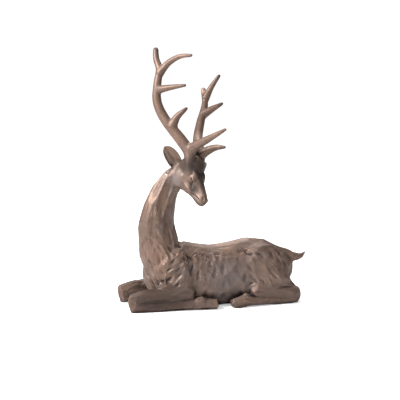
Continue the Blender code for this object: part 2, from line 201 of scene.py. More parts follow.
class Clay:
    """Closed clay shapes that overlap, before they are kneaded together."""

    LIMB_STEPS = 5
    ACROSS = (0, 1, 0)
    NOSE_LENGTH = 0.8
    NOSE_ANGLES = (30, 55, 75)
    LUMP_SEGMENTS = (24, 14)

    def __init__(self) -> None:
        """Starts with no clay."""
        self.shape = bmesh.new()

    def limb(self, rings: Sequence[Ring], sides: int = 20, nose: float = NOSE_LENGTH) -> None:
        """Adds a closed limb through the rings.

        Args:
            rings: The limb's sections in order.
            sides: How many corners each section has.
            nose: How long its rounded ends are, as a share of its thickness.
        """
        rows = self.rounded(smooth_run(rings, self.LIMB_STEPS), nose)
        loops = []
        for row, tangent in zip(rows, np.gradient(rows[:, :3], axis=0)):
            along = Vector(tangent).normalized()
            wide = Vector(self.ACROSS)
            wide = (wide - along * wide.dot(along)).normalized()
            deep = along.cross(wide)
            ring, loop = Ring(*row), []
            for k in range(sides):
                angle = math.tau * k / sides
                spread = ring.wide * math.cos(angle) * (1 - ring.taper * math.sin(angle))
                point = Vector(row[:3]) + wide * spread + deep * ring.deep * math.sin(angle)
                loop.append(self.shape.verts.new(point))
            loops.append(loop)
        self.skin(loops)

    def rounded(self, rows: np.ndarray, nose: float) -> np.ndarray:
        """Adds shrinking rings past both ends of a limb.

        Args:
            rows: The limb's sections.
            nose: How long the ends are, as a share of the limb's thickness.

        Returns:
            The sections with a round nose at either end.
        """
        out = list(rows)
        for end, step in ((0, 1), (-1, -1)):
            tip, back = rows[end], rows[end + step]
            away = tip[:3] - back[:3]
            away = away / np.linalg.norm(away)
            reach = min(tip[3], tip[4]) * nose
            caps = []
            for angle in np.radians(self.NOSE_ANGLES):
                cap = tip.copy()
                cap[:3] = tip[:3] + away * reach * math.sin(angle)
                cap[3:5] = tip[3:5] * math.cos(angle)
                caps.append(cap)
            out = caps[::-1] + out if end == 0 else out + caps
        return np.array(out)

    def skin(self, loops: Sequence[Sequence[bmesh.types.BMVert]]) -> None:
        """Skins a run of corner loops and closes both ends.

        Args:
            loops: The loops in order, all with as many corners.
        """
        sides = len(loops[0])
        for first, second in zip(loops, loops[1:]):
            for k in range(sides):
                n = (k + 1) % sides
                self.shape.faces.new((first[k], first[n], second[n], second[k]))
        self.shape.faces.new(loops[0][::-1])
        self.shape.faces.new(loops[-1])

    def lump(self, lump: Lump) -> None:
        """Adds an ellipsoid.

        Args:
            lump: The ellipsoid's place and radii.
        """
        place = (
            Matrix.Translation((lump.x, lump.y, lump.z))
            @ Matrix.Rotation(math.radians(lump.turn), 4, "Y")
            @ Matrix.Diagonal((lump.along, lump.across, lump.tall, 1))
        )
        around, along = self.LUMP_SEGMENTS
        bmesh.ops.create_uvsphere(self.shape, u_segments=around, v_segments=along, radius=1, matrix=place)

    def piece(self, name: str) -> bpy.types.Object:
        """Turns the clay into an object with its faces pointing out.

        Args:
            name: The object's name.

        Returns:
            The new object.
        """
        bmesh.ops.recalc_face_normals(self.shape, faces=self.shape.faces)
        mesh = bpy.data.meshes.new(name)
        self.shape.to_mesh(mesh)
        self.shape.free()
        piece = bpy.data.objects.new(name, mesh)
        bpy.context.scene.collection.objects.link(piece)
        return piece


class Wiring:
    """A node tree while it is wired up, with the ends of its group where it is one."""

    def __init__(self, tree: bpy.types.NodeTree, inputs: dict | None = None,
                 outputs: dict | None = None) -> None:
        """Takes a tree on, and gives it sockets where it is a group.

        Args:
            tree: The node tree.
            inputs: Each input's kind and value by its name, the value being None where none is set.
            outputs: Each output's kind by its name.
        """
        self.tree = tree
        if outputs is None:
            return
        for name, (kind, value) in inputs.items():
            socket = tree.interface.new_socket(name, in_out="INPUT", socket_type="NodeSocket" + kind)
            if value is not None:
                socket.default_value = value
        for name, kind in outputs.items():
            tree.interface.new_socket(name, in_out="OUTPUT", socket_type="NodeSocket" + kind)
        self.given = self.node("NodeGroupInput").outputs
        self.made = self.node("NodeGroupOutput")

    def node(self, kind: str, sockets: dict | None = None, **settings: object) -> bpy.types.Node:
        """Adds a node.

        Args:
            kind: The node's type.
            sockets: What each socket gets, by its name or number: a value or another node's socket.
            settings: The node's own settings.

        Returns:
            The node.
        """
        node = self.tree.nodes.new(kind)
        for name, value in settings.items():
            setattr(node, name, value)
        self.feed(node, sockets or {})
        return node

    def feed(self, node: bpy.types.Node, sockets: dict) -> None:
        """Gives a node's sockets their values and links.

        Args:
            node: The node.
            sockets: What each socket gets, by its name or number.
        """
        for name, value in sockets.items():
            if isinstance(value, bpy.types.NodeSocket):
                self.tree.links.new(value, node.inputs[name])
            else:
                node.inputs[name].default_value = value

    def reckon(self, operation: str, *values: object) -> bpy.types.NodeSocket:
        """Returns the result of one step of arithmetic on values or sockets."""
        return self.node("ShaderNodeMath", dict(enumerate(values)), operation=operation).outputs["Value"]

    def blend(self, share: object, under: object, over: object) -> bpy.types.NodeSocket:
        """Returns a colour with another laid over it by a share."""
        colours = {"Factor": share, "A": under, "B": over}
        return self.node("ShaderNodeMix", colours, data_type="RGBA").outputs["Result"]

    def noise(self, sockets: dict, **settings: object) -> bpy.types.NodeSocket:
        """Returns a noise on the piece's own coordinates."""
        place = self.node("ShaderNodeTexCoord").outputs["Object"]
        return self.node("ShaderNodeTexNoise", {"Vector": place, **sockets}, **settings).outputs["Fac"]

    def layer(self, name: str) -> bpy.types.NodeSocket:
        """Returns a layer of the piece's mesh."""
        return self.node("ShaderNodeAttribute", attribute_name=name).outputs["Fac"]

    def ramp(self, value: bpy.types.NodeSocket, low: object, high: object,
             rise: str = "LINEAR") -> bpy.types.NodeSocket:
        """Makes a mask out of a value.

        Args:
            value: The value.
            low: Where the mask begins.
            high: Where the mask is full.
            rise: How it rises between them.

        Returns:
            The mask.
        """
        sockets = {"Value": value, "From Min": low, "From Max": high}
        return self.node("ShaderNodeMapRange", sockets, interpolation_type=rise).outputs["Result"]


@dataclass
class Trunk:
    """Chest, barrel, haunches, neck and tail, with the muscles laid on both flanks."""

    torso: tuple = (
        Ring(-82, 0, 77, 20, 20),
        Ring(-72, 0, 62, 29, 38, 0.1),
        Ring(-55, 0, 50, 37, 50, 0.2),
        Ring(-30, 0, 46, 39, 49, 0.25),
        Ring(0, 0, 43, 40, 47.5, 0.25),
        Ring(30, 0, 45, 39, 48.5, 0.22),
        Ring(62, 0, 48, 39, 50, 0.2),
        Ring(88, 0, 47, 36, 46, 0.2),
        Ring(107, 0, 46, 29, 37, 0.15),
        Ring(117, 0, 44, 19, 28),
    )
    neck: tuple = (
        Ring(-63, 0, 56, 28, 27),
        Ring(-75, 0, 80, 30, 32),
        Ring(-79, 0, 99, 28.5, 31),
        Ring(-81, -1, 118, 25.5, 28.5),
        Ring(-80, -3, 134, 23, 26.3),
        Ring(-76, -3, 152, 19.5, 24),
        Ring(-69, -2, 170, 16.5, 21.5),
        Ring(-60, -2.5, 187, 14, 18.5),
        Ring(-47, -8, 202, 14, 15),
    )
    tail: tuple = (
        Ring(110, 0, 74, 9, 9),
        Ring(124, 0, 69, 9.5, 8),
        Ring(136, 0, 64.5, 9.5, 7),
        Ring(147, 0, 66, 6.5, 4.5),
        Ring(154.5, 0, 72, 2, 1.6),
    )
    muscles: tuple = (
        Lump(-62, -22, 60, 27, 17, 34, 12),
        Lump(-54, -31, 33, 16, 11, 22, -18),
        Lump(79, -21, 50, 42, 21, 42, 0),
        Lump(72, -32, 33, 21, 12, 25, 20),
        Lump(99, -27, 31, 23, 13, 24, -10),
        Lump(-42, -3, 87, 20, 15, 9, 8),
        Lump(-52, -33, 40, 20, 12, 17, 14),
        Lump(86, -32, 38, 34, 14, 22, 4),
        Lump(-74, -34, 34, 26, 10, 9, -22),
        Lump(-46, -33, 46, 13, 10, 30, -6),
        Lump(116, -31, 27, 17, 8, 9, 38),
    )
    sides: int = 40
    voxel: float = 1.6
    smoothing: int = 18

    def model(self) -> bpy.types.Object:
        """Models the trunk.

        Returns:
            The trunk's clay as one skin.
        """
        clay = Clay()
        clay.limb(self.torso, sides=self.sides)
        clay.limb(self.neck, sides=self.sides)
        clay.limb(self.tail)
        for muscle in self.muscles:
            clay.lump(muscle)
            clay.lump(mirrored(muscle))
        return kneaded(clay.piece("trunk_clay"), self.voxel, self.smoothing)


@dataclass
class Legs:
    """The four folded legs with their knees, fetlocks and hoofs."""

    foreleg: tuple = (
        Ring(-40, -36, 28, 12, 15),
        Ring(-62, -38, 25, 11, 12.5),
        Ring(-86, -38, 24, 10, 11),
        Ring(-106, -37, 23, 9.5, 10.5),
        Ring(-126, -36.5, 18.5, 9.5, 10),
    )
    fore_cannon: tuple = (
        Ring(-127, -36.5, 10.5, 9.5, 11),
        Ring(-104, -38, 8, 8, 9),
        Ring(-70, -40, 8, 7, 8.5),
        Ring(-38, -42, 8, 7, 8),
        Ring(-25, -43, 10, 8.8, 10.8),
        Ring(-16, -43.5, 8.5, 7.6, 8.8),
        Ring(-7, -44, 8, 8.6, 8.8),
        Ring(0, -44.2, 7.5, 9, 8.6),
    )
    hind_shank: tuple = (
        Ring(62, -37, 24, 10, 11.5),
        Ring(86, -36, 22, 9.5, 10.5),
        Ring(110, -35.5, 19, 8.5, 10),
        Ring(127, -34.5, 15, 8, 10),
    )
    hind_cannon: tuple = (
        Ring(128, -34.5, 11, 7.5, 11),
        Ring(112, -36, 8, 7, 9),
        Ring(84, -39, 8, 7, 8),
        Ring(58, -42, 8.5, 7, 8),
        Ring(47, -43, 10.5, 8.8, 10.8),
        Ring(38, -44, 9, 8, 9.6),
        Ring(30, -44.4, 7.5, 8.6, 9),
        Ring(25, -44.5, 6, 8.4, 7.8),
    )
    joints: tuple = (Lump(-123.5, -36.5, 15, 9.5, 10, 14), Lump(126, -34.5, 14, 9, 8.5, 13.5))
    hoof_end: float = 0.3
    voxel: float = 1.2
    smoothing: int = 4

    def bones(self) -> tuple:
        """Returns the rings of each stretch of one side's legs."""
        return self.foreleg, self.fore_cannon, self.hind_shank, self.hind_cannon

    def model(self) -> bpy.types.Object:
        """Models the legs of both flanks.

        Returns:
            The four legs' clay as one skin.
        """
        clay = Clay()
        for bone in self.bones():
            blunt = self.hoof_end if bone in (self.fore_cannon, self.hind_cannon) else Clay.NOSE_LENGTH
            clay.limb(bone, nose=blunt)
            clay.limb([mirrored(ring) for ring in bone], nose=blunt)
        for joint in self.joints:
            clay.lump(joint)
            clay.lump(mirrored(joint))
        return kneaded(clay.piece("leg_clay"), self.voxel, self.smoothing)


@dataclass
class Head:
    """The skull, face and ears, in a frame with x to the nose, y left and z out of the brow."""

    brow: tuple = (-27.4, -34.0, 194.6)
    yaw: float = math.radians(-57)
    tilt: float = math.radians(14)
    bow: float = math.radians(53)
    skull: tuple = (
        Ring(-33, 0, -8, 11, 15),
        Ring(-24, 0, -10, 14.5, 22, -0.05),
        Ring(-12, 0, -12.5, 15, 23.5, -0.25),
        Ring(0, 0, -10, 13.8, 18.5, -0.3),
        Ring(10, 0, -8, 11.5, 15, -0.15),
        Ring(20, 0, -6.3, 9, 12.3, 0.0),
        Ring(30, 0, -5.4, 7.6, 10.6, 0.05),
        Ring(35.5, 0, -4.4, 7.2, 9.0, 0.0),
        Ring(38.6, 0, -3.6, 6.2, 7.0, 0.0),
    )
    face: tuple = (
        Lump(-17, -9.5, -20, 18, 9.5, 17.5, 12),
        Lump(-2, -7.5, -18, 23, 7.5, 9.5, -22),
        Lump(-5, -8, 6.0, 9, 4.6, 3.5, 8),
        Lump(-10, -9.8, -3, 10, 5, 7, 0),
        Lump(0, -11.3, 0, 5.4, 3.4, 4.4, 0),
        Lump(35, -3.2, 0.5, 4.6, 2.8, 3.4, 0),
        Lump(32.5, 0, -11.2, 5.0, 4.8, 4.0, 0),
    )
    dome: Lump = Lump(-13, 0, 18, 19, 19.5, 16, 0)
    pedicle: tuple = (
        Ring(-9, 9, 12, 8.4, 8.4),
        Ring(-10, 10.2, 20, 8.8, 8.6),
        Ring(-11, 11.5, 28, 8.6, 8.2),
    )
    near_ear: tuple = ((-29, -9, 9), (-38, -18, 26), (-50, -27, 41))
    far_ear: tuple = ((-21, 10, 12), (-21, 24, 19), (-22, 39, 25))
    ear_opens: tuple = (0.66, 0.75, 0.0)
    ear_widths: tuple = (4.5, 7.6, 9.6, 10.6, 10.8, 10.4, 9.2, 7.0, 1.8)
    ear_thickness: float = 2.4
    ear_rim: float = 0.55
    ear_cup: float = 0.45
    ear_folds: int = 3
    ear_fold_depth: float = 0.7
    ear_fold_span: float = 0.8
    ear_sides: int = 48
    ear_steps: int = 3
    sides: int = 40
    muzzle_end: float = 0.3
    voxel: float = 0.8
    smoothing: int = 5
    rims: list = field(default_factory=list)

    def place(self, bowed: bool) -> Matrix:
        """Finds the head's frame, bowed as the face is or level as the antlers are.

        Args:
            bowed: Whether the frame is bowed.

        Returns:
            The frame's place in the clay's.
        """
        turn = Matrix.Rotation(self.yaw, 4, "Z") @ Matrix.Rotation(-self.tilt, 4, "X")
        bow = Matrix.Rotation(self.bow, 4, "Y") if bowed else Matrix.Identity(4)
        return Matrix.Translation(self.brow) @ turn @ bow

    def ear(self, clay: Clay, points: Sequence, side: int) -> None:
        """Adds one cupped, leaf-shaped ear with folds inside.

        Args:
            clay: The clay that the ear is added to.
            points: The ear's middle line in the level frame.
            side: Minus one for the ear that opens to the right, one for the left.
        """
        stretches = self.ear_steps * (len(self.ear_widths) - 1)
        path = smooth_run(points, stretches // (len(points) - 1))
        widths = np.interp(np.linspace(0, 1, len(path)), np.linspace(0, 1, len(self.ear_widths)),
                           self.ear_widths)
        opens = Vector(on_side(self.ear_opens, side))
        loops = []
        for point, tangent, half in zip(path, np.gradient(path, axis=0), widths):
            along = Vector(tangent).normalized()
            wide = along.cross(opens).normalized()
            face = wide.cross(along)
            loop = []
            for k in range(self.ear_sides):
                angle = math.tau * k / self.ear_sides
                across = math.cos(angle)
                body = math.copysign(abs(math.sin(angle)) ** self.ear_rim, math.sin(angle))
                lift = self.ear_thickness * body + self.ear_cup * half * across**2
                if math.sin(angle) > 0 and abs(across) < self.ear_fold_span:
                    lift -= self.ear_fold_depth * (1 + math.cos(self.ear_folds * math.pi * across))
                loop.append(clay.shape.verts.new(Vector(point) + wide * half * across + face * lift))
            loops.append(loop)
            self.rims += [tuple(loop[0].co), tuple(loop[self.ear_sides // 2].co)]
        clay.skin(loops)

    def model(self) -> bpy.types.Object:
        """Models the skull, the face and the antlers' roots.

        Returns:
            The head's clay as one skin.
        """
        bowed, level = Clay(), Clay()
        bowed.limb(self.skull, sides=self.sides, nose=self.muzzle_end)
        for lump in self.face:
            bowed.lump(lump)
            if lump.y:
                bowed.lump(mirrored(lump))
        bowed.shape.transform(self.place(bowed=True))
        level.limb(self.pedicle)
        level.limb([mirrored(ring) for ring in self.pedicle])
        level.lump(self.dome)
        level.shape.transform(self.place(bowed=False))
        pieces = [bowed.piece("skull"), level.piece("pedicles")]
        return kneaded(joined(pieces, "head_clay"), self.voxel, self.smoothing)

    def ears(self) -> bpy.types.Object:
        """Models the ears, and notes where their rims run.

        Returns:
            Both ears, not yet fused to the skull.
        """
        clay = Clay()
        self.ear(clay, self.near_ear, -1)
        self.ear(clay, self.far_ear, 1)
        clay.shape.transform(self.place(bowed=False))
        return clay.piece("ear_clay")


@dataclass
class Antler:
    """One antler, whose branches a node tree sweeps along their middle lines."""

    NOSE_ANGLES = (35, 65, 85)
    INPUTS = {"Geometry": "Geometry", "Sides": "Int", "Station": "Float", "Knobble": "Float",
              "Knobble Size": "Float", "Seed": "Int", "Finish": "Material"}

    name: str
    branches: tuple
    seed: int
    sides: int = 16
    steps: int = 6
    station: float = 1.6
    knobble: float = 0.6
    knobble_size: float = 14.0
    fullness: float = 1.6
    stoutness: float = 0.6
    flare: float = 0.42
    flare_length: float = 1.6
    voxel: float = 0.7
    smoothing: int = 12

    def lines(self) -> bpy.types.Object:
        """Lays out the branches' middle lines.

        Returns:
            A curve object with a radius at every point.
        """
        curve = bpy.data.curves.new(self.name + "_lines", "CURVE")
        curve.dimensions = "3D"
        for branch in self.branches:
            path = smooth_run(branch.points, self.steps)
            strides = np.linalg.norm(np.diff(path, axis=0), axis=1)
            share = np.concatenate([[0], np.cumsum(strides)]) / strides.sum()
            radius = branch.tip + (branch.root - branch.tip) * (1 - share**self.fullness)
            reach = self.flare_length * branch.root
            if branch is not self.branches[0]:
                radius += self.flare * branch.root * np.exp(-share * strides.sum() / reach)
            radius += self.stoutness
            away = (path[-1] - path[-2]) / strides[-1]
            noses = [(path[-1] + away * branch.tip * math.sin(a), branch.tip * math.cos(a))
                     for a in np.radians(self.NOSE_ANGLES)]
            spline = curve.splines.new("POLY")
            spline.points.add(len(path) + len(noses) - 1)
            for point, (place, size) in zip(spline.points, list(zip(path, radius)) + noses):
                point.co = (*place, 1)
                point.radius = size
        lines = bpy.data.objects.new(self.name + "_lines", curve)
        bpy.context.scene.collection.objects.link(lines)
        return lines

    def tree(self) -> bpy.types.NodeTree:
        """Builds the node tree that sweeps, knobbles and finishes the branches.

        Returns:
            The node tree, with its sizes as named inputs.
        """
        tree = bpy.data.node_groups.new(self.name + "_sweep", "GeometryNodeTree")
        wires = Wiring(tree, {name: (kind, None) for name, kind in self.INPUTS.items()},
                       {"Geometry": "Geometry"})
        node, given = wires.node, wires.given
        stations = node("GeometryNodeResampleCurve",
                        {"Curve": given["Geometry"], "Length": given["Station"]}, mode="LENGTH")
        outline = node("GeometryNodeCurvePrimitiveCircle", {"Resolution": given["Sides"], "Radius": 1.0})
        sweep = node("GeometryNodeCurveToMesh", {
            "Curve": stations.outputs["Curve"],
            "Profile Curve": outline.outputs["Curve"],
            "Scale": node("GeometryNodeInputRadius").outputs["Radius"],
            "Fill Caps": True,
        })
        place = node("GeometryNodeInputPosition").outputs["Position"]
        shrunk = node("ShaderNodeVectorMath", {0: place, 1: given["Knobble Size"]}, operation="DIVIDE")
        noise = node("ShaderNodeTexNoise", {"Vector": shrunk.outputs["Vector"], "W": given["Seed"],
                                            "Scale": 1.0, "Detail": 1.0}, noise_dimensions="4D")
        level = wires.reckon("SUBTRACT", noise.outputs["Fac"], NOISE_LEVEL)
        amount = wires.reckon("MULTIPLY", level, given["Knobble"])
        normal = node("GeometryNodeInputNormal").outputs["Normal"]
        push = node("ShaderNodeVectorMath", {0: normal, "Scale": amount}, operation="SCALE")
        move = node("GeometryNodeSetPosition",
                    {"Geometry": sweep.outputs["Mesh"], "Offset": push.outputs["Vector"]})
        real = node("GeometryNodeRealizeInstances", {"Geometry": move.outputs["Geometry"]})
        dress = node("GeometryNodeSetMaterial",
                     {"Geometry": real.outputs["Geometry"], "Material": given["Finish"]})
        wires.feed(wires.made, {"Geometry": dress.outputs["Geometry"]})
        return tree

    def model(self, head: Head, finish: bpy.types.Material) -> bpy.types.Object:
        """Sweeps the branches and fuses them.

        Args:
            head: The head that carries the antler.
            finish: The material that the tree gives it.

        Returns:
            The antler's clay as one skin.
        """
        lines = self.lines()
        sweep = lines.modifiers.new("Sweep", "NODES")
        sweep.node_group = self.tree()
        values = {"Sides": self.sides, "Station": self.station, "Knobble": self.knobble,
                  "Knobble Size": self.knobble_size, "Seed": self.seed, "Finish": finish}
        for socket in sweep.node_group.interface.items_tree:
            if socket.in_out == "INPUT" and socket.name in values:
                sweep[socket.identifier] = values[socket.name]
        graph = bpy.context.evaluated_depsgraph_get()
        graph.update()
        mesh = bpy.data.meshes.new_from_object(lines.evaluated_get(graph))
        bpy.data.objects.remove(lines)
        clay = Clay()
        clay.shape.from_mesh(mesh)
        bpy.data.meshes.remove(mesh)
        clay.shape.transform(head.place(bowed=False))
        return kneaded(clay.piece(self.name + "_clay"), self.voxel, self.smoothing)


NEAR_BRANCHES = (
    Branch(((-8, -8, 6), (-9, -11, 21), (-13, -13, 38), (-27, -21, 55), (-50, -34, 79), (-64, -43, 103),
            (-67, -46, 128), (-69, -45, 152), (-79, -45, 168), (-83, -45, 182)), 8.4, 3.7),
    Branch(((-13, -12, 41), (3, -14, 50), (24, -16, 60), (55, -18, 76)), 6.4, 1.6),
    Branch(((-40, -29, 70), (-34, -28, 86), (-21, -24, 101)), 5.6, 1.8),
    Branch(((-65, -45, 122), (-45, -42, 127), (-20, -36, 133)), 4.6, 1.7),
    Branch(((-68, -45, 146), (-55, -43, 163), (-36, -41, 174), (-15, -39, 177)), 4.8, 1.8),
)
FAR_BRANCHES = (
    Branch(((-8, 8, 6), (-9, 10, 21), (-17, 14, 42), (-35, 26, 62), (-49, 42, 91), (-57, 54, 116),
            (-64, 58, 130), (-71, 60, 142)), 8.0, 3.4),
    Branch(((-12, 13, 38), (-2, 15, 45), (12, 16, 51), (30, 16, 53)), 6.0, 1.7),
    Branch(((-53, 48, 101), (-38, 50, 111), (-17, 48, 121)), 5.2, 1.8),
    Branch(((-61, 57, 126), (-56, 61, 146), (-48, 66, 166)), 4.5, 2.0),
)


class Zone(Enum):
    """The stretches of the figure that the carver treats in their own way."""

    TORSO = "torso"
    NECK = "neck"
    TAIL = "tail"
    LEG = "leg"
    HEAD = "head"


@dataclass(frozen=True)
class Line:
    """A line drawn on the skin: its points, width and height.

    A line with a height below zero is a groove. Both sides of the figure get it. The lines of
    the face lie in the head's bowed frame, those of the legs in the clay's.
    """

    STEPS = 10

    points: tuple
    width: float
    height: float

    def path(self, straight: int) -> np.ndarray:
        """Returns points along the line, so many of them where it is straight."""
        if len(self.points) == 2:
            return np.linspace(*self.points, straight)
        return smooth_run(self.points, self.STEPS)


class SoftPlace(NamedTuple):
    """A place where the skin is stroked smooth on both flanks, and how far round it.

    The middles on the face lie in the head's bowed frame, those on the limbs in the clay's.
    """

    middle: tuple
    radius: float


FACE_LINES = (
    # Eye: its socket, ball, upper lid, lower lid, pupil and tear line
    Line(((0.5, -13, -1), (3.5, -13, -3)), 6.0, -1.2),
    Line(((-2.0, -13, -0.3), (2.2, -13, -0.3)), 2.9, 0.9),
    Line(((-7, -14, -1.6), (-3.8, -13.5, 2.9), (0.8, -13, 4.0), (5, -12.5, 1.6)), 1.7, 0.8),
    Line(((-5.5, -14, -4), (-1, -13.5, -5.2), (4, -13, -4.4)), 1.7, 0.4),
    Line(((0.4, -13, 0.2), (1.6, -13, 0.1)), 1.1, -0.9),
    Line(((6, -12, -2), (11, -10.5, -6.5)), 2.0, -0.7),
    # Cheekbone, brow, rear edge of the jaw and ridge of the nose
    Line(((-10, -14, -11), (-3, -14, -13.5), (5, -12.5, -13), (13, -10.5, -10)), 2.8, 0.9),
    Line(((-9, -12, 5), (-4, -11, 8), (3, -9, 8.5)), 3.4, 0.5),
    Line(((-34, -14, -20), (-28, -15, -32), (-14, -14, -41)), 2.4, -1.5),
    Line(((4, -6.5, 6.5), (18, -5.5, 4.0), (31, -4.6, 3.0)), 1.6, 0.6),
    # Nostril, mouth and upper lip
    Line(((33.2, -5.5, 2.2), (35.4, -5.6, 2.4), (37, -5.2, 1.2)), 1.2, -1.4),
    Line(((38, -3, -4.2), (32, -6.5, -5.8), (26, -7.4, -8.4), (18, -8.2, -11.8)), 1.1, -1.0),
    Line(((36, -5, -2.4), (31, -6.5, -3.6), (25, -7.6, -5.8), (17, -8.8, -9.2)), 1.7, 0.5),
)
LEG_LINES = (
    # Clefts of the fore and hind hoofs
    Line(((3.5, -44.2, 1), (3, -44.2, 13), (-8, -44, 17)), 1.2, -1.3),
    Line(((18.5, -44.5, 1), (20, -44.5, 11), (31, -44.4, 16)), 1.2, -1.3),
    # Dewclaws, two to a leg
    Line(((-29, -39, 20.5), (-24, -39, 20.5)), 2.2, 1.6),
    Line(((-29, -47, 20), (-24, -47, 20)), 2.2, 1.4),
    Line(((44, -39, 21), (50, -39, 21)), 2.2, 1.5),
    Line(((44, -47, 20), (50, -47, 20)), 2.2, 1.3),
)
FACE_SOFT_PLACES = (
    SoftPlace((-3, -15, -14), 17),
    SoftPlace((-16, -12, -4), 14),
    SoftPlace((-30, -12, -18), 12),
    SoftPlace((3, -8, -27), 15),
)
LIMB_SOFT_PLACES = (
    SoftPlace((-48, -42, 42), 26),
    SoftPlace((-30, -40, 34), 20),
    SoftPlace((88, -42, 42), 34),
    SoftPlace((64, -42, 38), 20),
)


@dataclass(frozen=True)
class Blade:
    """A knife stroke's half length, half width and depth, in millimetres.

    The tip is narrower by leaf, and lean tips the stroke over to one side, both as shares.
    """

    length: float
    width: float
    depth: float
    leaf: float = 0.0
    lean: float = 0.0


class FaceCut(NamedTuple):
    """A flat cut on both sides of the face: its middle and direction in the bowed frame."""

    middle: tuple
    along: tuple
    blade: Blade


FACE_CUTS = (
    FaceCut((18, -9, -3), (1, 0, -0.15), Blade(17, 6.5, 1.0)),
    FaceCut((8, -9.5, -17), (1, 0, 0.35), Blade(13, 5, 0.8)),
    FaceCut((16, 0, 6), (1, 0, 0), Blade(18, 5, 0.7)),
    FaceCut((25, -7, -9), (1, 0, 0.4), Blade(10, 4, 0.5)),
)


@dataclass(frozen=True)
class Pass:
    """One round of knife work over a zone, or over the part of it inside a band.

    Spacing is how far strokes stay apart along and across, slant is how they turn out of the
    limb's direction, and stray how far they wander from that. A bundle has several strokes
    side by side, a pitch apart. Share is how many of the places are cut.
    """

    zone: Zone
    blade: Blade
    spacing: tuple
    slant: float = 0.0
    stray: float = 8.0
    across: tuple = (-200.0, 200.0)
    height: tuple = (-10.0, 400.0)
    strokes: int = 1
    pitch: float = 0.0
    share: float = 1.0

    def covers(self, point: np.ndarray) -> bool:
        """Returns whether a point lies in the pass's band."""
        return (self.height[0] < point[2] < self.height[1]
                and self.across[0] < point[0] < self.across[1])


FACETS = (
    Pass(Zone.NECK, Blade(46, 15, 2.1), (50, 13), stray=5),
    Pass(Zone.TORSO, Blade(30, 14, 1.5), (26, 12), 0, 7, height=(80, 120)),
    Pass(Zone.TORSO, Blade(20, 11, 1.9), (19, 10), 62, 14, across=(-120, -42), height=(-10, 84)),
    Pass(Zone.TORSO, Blade(22, 11, 1.7), (22, 11), 80, 12, across=(-42, 52), height=(-10, 80)),
    Pass(Zone.TORSO, Blade(20, 11, 1.8), (18, 10), -66, 16, across=(52, 130), height=(-10, 80)),
    Pass(Zone.LEG, Blade(34, 11, 1.5), (30, 8), 0, 6),
    Pass(Zone.TAIL, Blade(22, 8, 1.0), (20, 7), 0, 6),
)
GOUGES = (
    Pass(Zone.NECK, Blade(26, 4.2, 0.8, 0.4), (26, 9), 0, 8, height=(104, 400), share=0.7),
    Pass(Zone.NECK, Blade(13, 3.8, 1.2, 0.55), (13, 7), 18, 18, height=(-10, 112), share=0.8),
    Pass(Zone.TORSO, Blade(15, 3.6, 1.25, 0.55), (14, 6.5), 58, 14, across=(-120, -46), share=0.8),
    Pass(Zone.TORSO, Blade(19, 4.0, 1.0, 0.55), (19, 9), 82, 10, across=(-46, 52),
         height=(-10, 76), share=0.6),
    Pass(Zone.TORSO, Blade(15, 3.8, 1.3, 0.55), (15, 8), -60, 18, across=(52, 130),
         height=(40, 82), share=0.6),
    Pass(Zone.TORSO, Blade(17, 3.6, 0.7, 0.55), (18, 9), -40, 16, across=(52, 130),
         height=(-10, 40), share=0.4),
    Pass(Zone.TORSO, Blade(10, 4.4, 1.5, 0.2), (12, 9), -12, 10, across=(-48, 70), height=(76, 84)),
    Pass(Zone.LEG, Blade(15, 3.0, 0.6, 0.4), (18, 8), 0, 9, share=0.7),
    Pass(Zone.TAIL, Blade(10, 2.4, 0.5, 0.4), (10, 5), 0, 9, share=0.8),
)
SCORES = (
    Pass(Zone.TORSO, Blade(15, 1.5, 0.6, 0.5), (25, 20), 50, 10, across=(-62, -14),
         height=(48, 90), strokes=5, pitch=3.3, share=0.9),
    Pass(Zone.TORSO, Blade(14, 1.5, 0.55, 0.5), (25, 20), -48, 10, across=(-6, 26),
         height=(52, 84), strokes=4, pitch=3.4, share=0.8),
    Pass(Zone.TORSO, Blade(14, 1.5, 0.5, 0.5), (28, 20), -62, 18, across=(34, 120),
         height=(20, 84), strokes=4, pitch=3.4, share=0.6),
    Pass(Zone.TORSO, Blade(14, 1.5, 0.5, 0.5), (30, 22), 60, 18, across=(-110, -60),
         height=(20, 84), strokes=3, pitch=3.4, share=0.6),
    Pass(Zone.TORSO, Blade(16, 1.3, 0.4, 0.4), (28, 12), 0, 6, across=(-50, 110),
         height=(84, 120), strokes=3, pitch=2.8, share=0.8),
    Pass(Zone.NECK, Blade(16, 1.3, 0.4, 0.4), (36, 15), 0, 5, strokes=3, pitch=2.8, share=0.6),
    Pass(Zone.LEG, Blade(12, 1.2, 0.3, 0.4), (30, 12), 0, 7, strokes=2, pitch=2.6, share=0.5),
)


class Frame(Enum):
    """The frames that a tint's centre is given in."""

    CLAY = "clay"
    LEVEL = "level"
    BOWED = "bowed"


@dataclass(frozen=True)
class Tint:
    """A patch coloured darker, or paler where its amount is below zero: painted shade, painted highlights
    and the paint's own patches.

    Warmth makes it more copper, or greyer below zero. It fades out over its radii. A paired tint
    lies on both flanks.
    """

    centre: tuple
    radii: tuple
    amount: float
    warmth: float = 0.0
    frame: Frame = Frame.CLAY
    paired: bool = True


